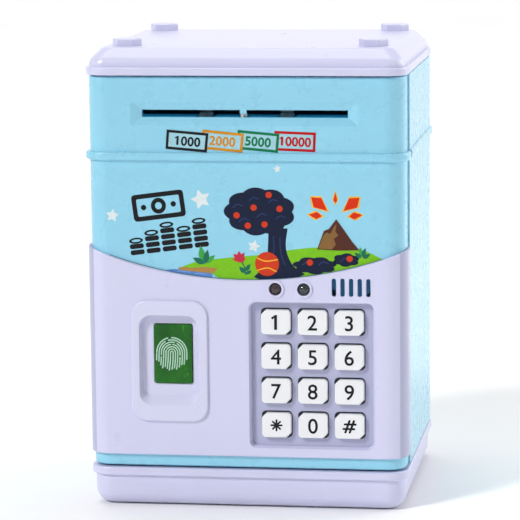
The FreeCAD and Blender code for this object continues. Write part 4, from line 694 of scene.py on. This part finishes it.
def make_mountain():
    """Plain mountain with outlined rays above it."""
    body = [(29.4, 107.6), (31.4, 113.2), (32.2, 115.2), (34.2, 116.0), (37.2, 120.0), (40.4, 115.6),
            (43.6, 111.0), (46.6, 107.4), (38.0, 107.2)]
    light = [(29.9, 107.9), (31.8, 113.0), (33.2, 114.6), (34.8, 114.0), (36.4, 117.0), (37.4, 118.2),
             (36.8, 115.0), (38.0, 113.4), (36.2, 112.0), (37.0, 109.6), (35.4, 107.7)]
    decal("picture_mountain", [body], "rock_dark", 5)
    decal("picture_mountain_light", [light], "rock", 6)
    centre = Vector((36.9, 120.6))
    rays, cores = [], []
    for angle, near, far, wide in ((6, 4.4, 11.6, 2.0), (40, 3.2, 13.4, 3.0), (90, 4.8, 11.0, 1.3),
                                   (140, 3.2, 13.4, 3.0), (174, 4.4, 11.6, 2.0)):
        along = Vector((math.cos(math.radians(angle)), math.sin(math.radians(angle))))
        side = Vector((-along.y, along.x))
        for store, trim in ((rays, 0.0), (cores, 0.5)):
            start, end, half = near + 2.2 * trim, far - 1.2 * trim, wide - trim
            widest = centre + along * (end - 3.4)
            points = [centre + along * start, widest - side * half, centre + along * end,
                      widest + side * half]
            store.append(rounded_corners([tuple(point) for point in points], 0.25, 2))
    decal("picture_ray_edges", rays, "sun", 1)
    decal("picture_rays", cores, "ray", 2)


def make_stars():
    stars = ((-18.0, 127.6, 4.3, 18), (-54.6, 120.6, 2.9, -8), (13.4, 140.2, 1.7, 12),
             (3.6, 108.6, 2.7, -14))
    for index, (x, z, radius, turn) in enumerate(stars):
        decal(f"picture_star_{index + 1}", [star_points(x, z, radius, turn)], "star", 1)


make_number_frames()
make_banknote()
make_coin_stacks()
make_scenery()
make_plants()
make_tree()
make_mountain()
make_stars()


# ---------------------------------------------------------------- print on the keys and the window

def star_bars(x, z):
    """Eight-armed star of four bars."""
    reach, width = 2.15, 0.74
    bar = stroke([(x, z - reach), (x, z + reach)], width)
    return [turned(bar, 45 * k, (x, z)) for k in range(4)]


def hash_bars(x, z):
    """Slanted hash sign of four bars."""
    tall, wide, slant, slope = 2.35, 2.2, 0.85, 0.3
    uprights = [stroke([(x + s - slant, z - tall), (x + s + slant, z + tall)], 0.9) for s in (-0.85, 0.95)]
    levels = [stroke([(x - wide + s * slope, z + s), (x + wide + s * slope, z + s)], 0.85)
              for s in (-0.95, 0.95)]
    return uprights + levels


def make_key_figures():
    """A printed figure in the middle of each key."""
    height, weight = 6.1, 0.009
    for node in KEYS:
        low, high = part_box(node)
        spot = ((low.x + high.x) / 2 / MM, (low.z + high.z) / 2 / MM)
        text = node[len("key_"):]
        plane = low.y / MM
        if text in ("star", "hash"):
            bm = bmesh.new()
            for index, bar in enumerate(star_bars(*spot) if text == "star" else hash_bars(*spot)):
                extruded(bm, bar, plane - RAISED - index * STEP, plane + SUNK)
            piece(f"figure_{text}", bm, INK["black"], node)
        else:
            glyphs(f"figure_{text}", text, height, spot, plane, "black", node, weight=weight)


def arch(x, z, radius, legs, leg_steps=12, arc_steps=24):
    """Line up a left leg, round an arc and down a right leg; the legs bend a little to the left."""
    bend = 0.012
    left = [legs[0] * (1 - k / leg_steps) for k in range(leg_steps)]
    right = [legs[1] * (k + 1) / leg_steps for k in range(leg_steps)]
    angles = [math.pi * k / arc_steps for k in range(arc_steps + 1)]
    return ([(x - radius - bend * fall * fall, z - fall) for fall in left]
            + [(x - radius * math.cos(angle), z + radius * math.sin(angle)) for angle in angles]
            + [(x + radius - bend * fall * fall, z - fall) for fall in right])


def make_window_arcs():
    """Generic fingertip sign on the window: nested arches, with gaps, that fill a round outline."""
    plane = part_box("fingerprint_button")[0].y / MM
    x, z, reach, drop, width = -30.75, 64.3, 6.9, 7.3, 0.5
    rings = ((0.55, ()), (1.5, (0.62,)), (2.45, (0.34,)), (3.4, (0.5, 0.8)), (4.35, (0.2, 0.57)),
             (5.3, (0.43,)), (6.25, (0.24, 0.47, 0.78)))
    lines = []
    for ring, (radius, gaps) in enumerate(rings):
        fall = drop * math.sqrt(1 - (radius / reach) ** 2)
        path = arch(x, z, radius,
                    (max(0.3, fall - 0.5 * (ring % 3)), max(0.3, fall - 0.4 * ((ring + 1) % 3))))
        cuts = [0, *[int(gap * len(path)) for gap in gaps], len(path)]
        for start, end in zip(cuts, cuts[1:]):
            lines.append(path[start + (1 if start else 0):end])
    bm = bmesh.new()
    for index, line in enumerate(lines):
        extruded(bm, stroke(line, width), plane - RAISED - index * STEP, plane + SUNK)
    piece("window_sign", bm, INK["mint"], "fingerprint_button")


make_key_figures()
make_window_arcs()


# ---------------------------------------------------------------- lamps, rollers, screws, cells

def make_cover_grip():
    """Thumb ridges and an open arrow on the battery cover."""
    low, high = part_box("battery_cover")
    x, back, top = (low.x + high.x) / 2 / MM, high.y / MM, high.z / MM
    ridges, pitch, reach = 6, 1.7, 8.0
    bm = bmesh.new()
    for index in range(ridges):
        z = top - 6.0 - pitch * index
        extruded(bm, stroke([(x - reach, z), (x + reach, z)], 0.8), back - SUNK, back + 0.35)
    z, arm = top - 20.0, 3.0
    extruded(bm, stroke([(x - arm, z), (x, z + arm), (x + arm, z)], 0.9), back - SUNK, back + 0.3)
    piece("cover_grip", bm, WHITE, "battery_cover")


def make_lamp_insides():
    """Dark cup inside each clear lamp."""
    for side, tint in (("left", linear(26, 6, 14)), ("right", linear(18, 22, 28))):
        low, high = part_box(f"indicator_lamp_{side}")
        x, z = (low.x + high.x) / 2 / MM, (low.z + high.z) / 2 / MM
        bm = bmesh.new()
        lathe(bm, [(0, 0.9), (1.0, 0.9), (1.7, 0.2), (2.0, 0.0), (2.1, 0.2), (2.1, 2.6), (0, 2.6)],
              (x, low.y / MM + 2.2, z), "Y", 28)
        piece(f"lamp_cup_{side}", bm, moulded(f"lamp_cup_{side}", tint, edge=0), "door", smooth=True)


def ring_of(bm, x, centre, reaches):
    """Ring of points round the X axis through the centre, one for each reach."""
    count = len(reaches)
    angles = [math.tau * k / count for k in range(count)]
    return [bm.verts.new((x, centre.y + reach * math.cos(angle), centre.z + reach * math.sin(angle)))
            for reach, angle in zip(reaches, angles)]


def make_rollers():
    """Ribbed rubber rollers in place of the plain ones."""
    ribs, groove, end_trim, end = 30, 0.955, 0.94, 0.4 * MM
    for kind, bore in (("feed", 1.5), ("pinch", 1.2)):
        for side in ("left", "right"):
            node = f"{kind}_roller_{side}"
            low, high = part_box(node)
            centre = (low + high) / 2
            radius = (high.z - low.z) / 2
            bm = bmesh.new()
            loops = [ring_of(bm, x, centre, [radius * trim * (groove if k % 4 in (2, 3) else 1.0)
                                             for k in range(ribs * 4)])
                     for x, trim in ((low.x, end_trim), (low.x + end, 1.0), (high.x - end, 1.0),
                                     (high.x, end_trim))]
            loops += [ring_of(bm, x, centre, [bore * MM] * (ribs * 4)) for x in (high.x, low.x)]
            for first, second in zip(loops, loops[1:] + loops[:1]):
                for k in range(ribs * 4):
                    after = (k + 1) % (ribs * 4)
                    bm.faces.new((first[k], first[after], second[after], second[k]))
            item = piece(f"{node}_ribbed", bm, ROLLER, f"{kind}_shaft")
            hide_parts(node)


def screw_mesh(length, head=2.9, thick=1.8, shank=1.5):
    """Pan-head screw with a cross recess and a thread, along +Z, head on top of the origin."""
    core, pitch, flank = shank * 0.8, 0.8, 0.28
    bm = bmesh.new()
    lathe(bm, [(0, thick), (head * 0.45, thick * 0.98), (head * 0.82, thick * 0.78),
               (head * 0.97, thick * 0.4),
               (head, thick * 0.12), (head, 0), (core, 0), (core, -length + shank), (0, -length)],
          (0, 0, 0), "Z", 32)
    turns, steps = int(length / pitch) - 1, 20
    section = ((shank * 0.78, flank), (shank, 0.0), (shank * 0.78, -flank))
    ridge = []
    for k in range(turns * steps + 1):
        angle, height = math.tau * k / steps, -0.6 - pitch * k / steps
        ridge.append([bm.verts.new(Vector((r * math.cos(angle), r * math.sin(angle), height + h)) * MM)
                      for r, h in section])
    for first, second in zip(ridge, ridge[1:]):
        for k in range(3):
            bm.faces.new((first[k], first[(k + 1) % 3], second[(k + 1) % 3], second[k]))
    bm.faces.new(ridge[0])
    bm.faces.new(ridge[-1][::-1])
    cross = bmesh.new()
    arm, half, taper = head * 0.62, head * 0.13, 0.45
    outline = [(arm, -half), (arm, half), (half, half), (half, arm), (-half, arm), (-half, half),
               (-arm, half),
               (-arm, -half), (-half, -half), (-half, -arm), (half, -arm), (half, -half)]
    top = [cross.verts.new((x * MM, y * MM, (thick + 0.5) * MM)) for x, y in outline]
    low = [cross.verts.new((x * taper * MM, y * taper * MM, thick * 0.35 * MM)) for x, y in outline]
    cross.faces.new(top)
    cross.faces.new(low[::-1])
    for k in range(len(outline)):
        after = (k + 1) % len(outline)
        cross.faces.new((top[k], low[k], low[after], top[after]))
    return cut_mesh(bm, cross)


def cut_mesh(solid, tool):
    """The first bmesh minus the second, as a mesh."""
    objects = []
    for name, bm in (("cut_solid", solid), ("cut_tool", tool)):
        bmesh.ops.recalc_face_normals(bm, faces=bm.faces)
        mesh = bpy.data.meshes.new(name)
        bm.to_mesh(mesh)
        bm.free()
        item = bpy.data.objects.new(name, mesh)
        scene.collection.objects.link(item)
        objects.append(item)
    modifier = objects[0].modifiers.new("cut", "BOOLEAN")
    modifier.operation = "DIFFERENCE"
    modifier.object = objects[1]
    modifier.solver = "EXACT"
    bpy.context.view_layer.update()
    graph = bpy.context.evaluated_depsgraph_get()
    result = bpy.data.meshes.new_from_object(objects[0].evaluated_get(graph))
    for item in objects:
        bpy.data.objects.remove(item)
    return result


def copies(mesh, places):
    """One bmesh that holds a copy of the mesh at each place."""
    bm = bmesh.new()
    for place in places:
        copy = mesh.copy()
        copy.transform(place)
        bm.from_mesh(copy)
        bpy.data.meshes.remove(copy)
    return bm


def make_screws():
    """Cross-head screws in place of the plain ones: under the tray, under the lid, on the door's inside."""
    head, thick = 2.9 * MM, 1.8
    low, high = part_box("base_screws")
    spots = [(x, y) for x in (low.x + head, high.x - head) for y in (low.y + head, high.y - head)]
    down = Matrix.Rotation(math.pi, 4, "X")
    base_level = 9.0
    lid_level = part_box("lid_screws")[0].z / MM + thick
    for node, level, length in (("base_screws", base_level, high.z / MM - base_level),
                                ("lid_screws", lid_level, 15.0)):
        places = [Matrix.Translation((x, y, level * MM)) @ down @ Matrix.Rotation(0.7 * index, 4, "Z")
                  for index, (x, y) in enumerate(spots)]
        item = piece(f"{node}_cross_head", copies(screw_mesh(length), places), STEEL, "casing",
                     smooth=True)
        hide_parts(node)
    low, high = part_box("cover_screws")
    spots = [(x, z) for x in (low.x + head, high.x - head) for z in (low.z + head, high.z - head)]
    to_back = Matrix.Rotation(-math.pi / 2, 4, "X")
    places = [Matrix.Translation((x, high.y - thick * MM, z)) @ to_back @ Matrix.Rotation(0.9 * index, 4,
                                                                                          "Z")
              for index, (x, z) in enumerate(spots)]
    screws = copies(screw_mesh((high.y - low.y) / MM - thick), places)
    item = piece("cover_screws_cross_head", screws, STEEL, "door", smooth=True)
    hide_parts("cover_screws")


def make_cell(index):
    """Cell with a crimped jacket, a coloured band and a metal cap."""
    low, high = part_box(f"battery_{index}")
    spot = ((low.x + high.x) / 2 / MM, (low.y + high.y) / 2 / MM, low.z / MM)
    radius, length = (high.x - low.x) / 2 / MM, (high.z - low.z) / MM
    seam, top = 34.0, length - 1.0
    bm = bmesh.new()
    lathe(bm, [(0, 0.15), (4.6, 0.15), (4.9, 0), (radius - 0.6, 0), (radius - 0.1, 0.4), (radius, 0.9),
               (radius, seam - 0.2), (radius - 0.05, seam), (0, seam)], spot, "Z", 48)
    jacket = piece(f"battery_{index}_jacket", bm, JACKET, "door", smooth=True)
    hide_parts(f"battery_{index}")
    bm = bmesh.new()
    lathe(bm, [(0, seam), (radius - 0.05, seam), (radius, seam + 0.2), (radius, top - 1.2),
               (radius - 0.3, top - 0.5), (radius - 0.9, top - 0.2), (radius - 1.4, top), (3.4, top),
               (3.2, top - 0.25), (0, top - 0.25)], spot, "Z", 48)
    piece(f"battery_{index}_band", bm, JACKET_BAND, "door", smooth=True)
    bm = bmesh.new()
    lathe(bm, [(0, top - 0.5), (2.9, top - 0.25), (2.75, top + 0.1), (2.6, length - 0.3), (2.2, length),
               (0, length)], spot, "Z", 32)
    piece(f"battery_{index}_cap", bm, SPRING, "door", smooth=True)
    return spot


def make_cells():
    """Three cells, with a coil spring and a plate under each and a plate over it."""
    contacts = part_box("battery_contacts")
    foot, head = contacts[0].z / MM, contacts[1].z / MM
    plate = 0.35
    springs = bmesh.new()
    for index in (1, 2, 3):
        x, y, base = make_cell(index)
        lathe(springs, [(0, 0), (3.8, 0), (4, 0.15), (4, 0.3), (0, plate)], (x, y, foot), "Z", 32)
        lathe(springs, [(0, -plate), (4, -0.3), (4, -0.15), (3.8, 0), (0, 0)], (x, y, head), "Z", 32)
        coil(springs, (x, y, foot + plate), base - foot - plate)
    item = piece("battery_springs", springs, SPRING, "door", smooth=True)
    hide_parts("battery_contacts")


def coil(bm, spot, height, turns=3, wire=0.16, sides=6, steps=22):
    """Conical coil of round wire."""
    foot_radius, taper = 3.4, 1.5
    rows = []
    for k in range(turns * steps + 1):
        t = k / (turns * steps)
        angle = math.tau * turns * t
        reach = foot_radius - taper * t
        z = spot[2] + wire + (height - 2 * wire) * t
        row = []
        for side in range(sides):
            bend = math.tau * side / sides
            r = reach + wire * math.cos(bend)
            row.append(bm.verts.new(Vector((spot[0] + r * math.cos(angle), spot[1] + r * math.sin(angle),
                                            z + wire * math.sin(bend))) * MM))
        rows.append(row)
    for first, second in zip(rows, rows[1:]):
        for side in range(sides):
            after = (side + 1) % sides
            bm.faces.new((first[side], first[after], second[after], second[side]))
    bm.faces.new(rows[0][::-1])
    bm.faces.new(rows[-1])


make_cover_grip()
make_lamp_insides()
make_rollers()
make_screws()
make_cells()


# ---------------------------------------------------------------- stage

def make_stage():
    """Wide pale floor, a little below the feet."""
    finish = Finish("pale_floor")
    finish.colour(finish.blend(finish.spread(finish.noise(3, 3), 0, 1), (0.93, 0.93, 0.93),
                               (0.95, 0.95, 0.95)))
    finish.rough(finish.spread(finish.noise(40, 3), 0.6, 0.75))
    bm = bmesh.new()
    size, level = 12.0, -0.2 * MM
    corners = ((-size, -size), (size, -size), (size, size), (-size, size))
    bm.faces.new([bm.verts.new((x, y, level)) for x, y in corners])
    mesh = bpy.data.meshes.new("floor")
    bm.to_mesh(mesh)
    bm.free()
    mesh.materials.append(finish.material)
    floor = bpy.data.objects.new("floor", mesh)
    scene.collection.objects.link(floor)


def hang(name, data, spot, target):
    """Light at the spot, turned to the target; places in metres."""
    light = bpy.data.objects.new(name, data)
    light.location = spot
    light.rotation_mode = "QUATERNION"
    light.rotation_quaternion = (Vector(target) - Vector(spot)).to_track_quat("-Z", "Y")
    scene.collection.objects.link(light)


def make_sun(name, spot, strength, spread):
    """Sun that shines from the spot towards the middle; the spread softens its shadows, in degrees."""
    data = bpy.data.lights.new(name, "SUN")
    data.energy = strength
    data.angle = math.radians(spread)
    hang(name, data, spot, (0, 0, 0))


def make_panel(name, spot, target, size, power):
    """Square soft light."""
    data = bpy.data.lights.new(name, "AREA")
    data.shape = "SQUARE"
    data.size = size
    data.energy = power
    hang(name, data, spot, target)


def make_world():
    """White room: brighter low down behind and to the right, dimmer overhead and in front."""
    world = bpy.data.worlds.new("studio")
    world.use_nodes = True
    tree = world.node_tree
    background = next(node for node in tree.nodes if node.type == "BACKGROUND")
    coords = tree.nodes.new("ShaderNodeTexCoord")

    def ramp(source, low, high, start, end):
        node = tree.nodes.new("ShaderNodeMapRange")
        for name, number in (("From Min", start), ("From Max", end), ("To Min", low), ("To Max", high)):
            node.inputs[name].default_value = number
        tree.links.new(source, node.inputs["Value"])
        return node.outputs["Result"]

    facing = tree.nodes.new("ShaderNodeVectorMath")
    facing.operation = "DOT_PRODUCT"
    facing.inputs[1].default_value = (0.6, 0.8, 0.0)
    tree.links.new(coords.outputs["Generated"], facing.inputs[0])
    height = tree.nodes.new("ShaderNodeSeparateXYZ")
    tree.links.new(coords.outputs["Generated"], height.inputs[0])
    product = tree.nodes.new("ShaderNodeMath")
    product.operation = "MULTIPLY"
    tree.links.new(ramp(facing.outputs["Value"], 0.25, 1.15, -0.2, 0.5), product.inputs[0])
    tree.links.new(ramp(height.outputs["Z"], 1.0, 0.3, 0.2, 0.7), product.inputs[1])
    tree.links.new(product.outputs[0], background.inputs["Strength"])
    background.inputs["Color"].default_value = (1.0, 1.0, 1.0, 1.0)
    scene.world = world


def make_camera():
    """Long lens, 8 degrees to the right of the front and about as much above the middle."""
    target = Vector((-2.64, 1.14, 94.13)) * MM
    spot = Vector((178.74, -1224.92, 280.03)) * MM
    roll = -0.0098
    data = bpy.data.cameras.new("camera")
    data.lens = 203.83
    data.sensor_width = 36.0
    data.clip_start = 0.05
    data.clip_end = 60.0
    camera = bpy.data.objects.new("camera", data)
    camera.location = spot
    camera.rotation_mode = "QUATERNION"
    camera.rotation_quaternion = (target - spot).to_track_quat("-Z", "Y") @ Quaternion((0, 0, 1), roll)
    scene.collection.objects.link(camera)
    scene.camera = camera


make_stage()
make_sun("key_light", (-0.8, -0.95, 0.95), 1.95, 13)
make_sun("top_light", (-0.1, 0.15, 1.0), 1.35, 40)
make_panel("side_light", (0.8, 0.45, 0.5), (0.1, 0.08, 0.03), 0.6, 3.4)
make_world()
make_camera()
scene.view_settings.view_transform = "Standard"
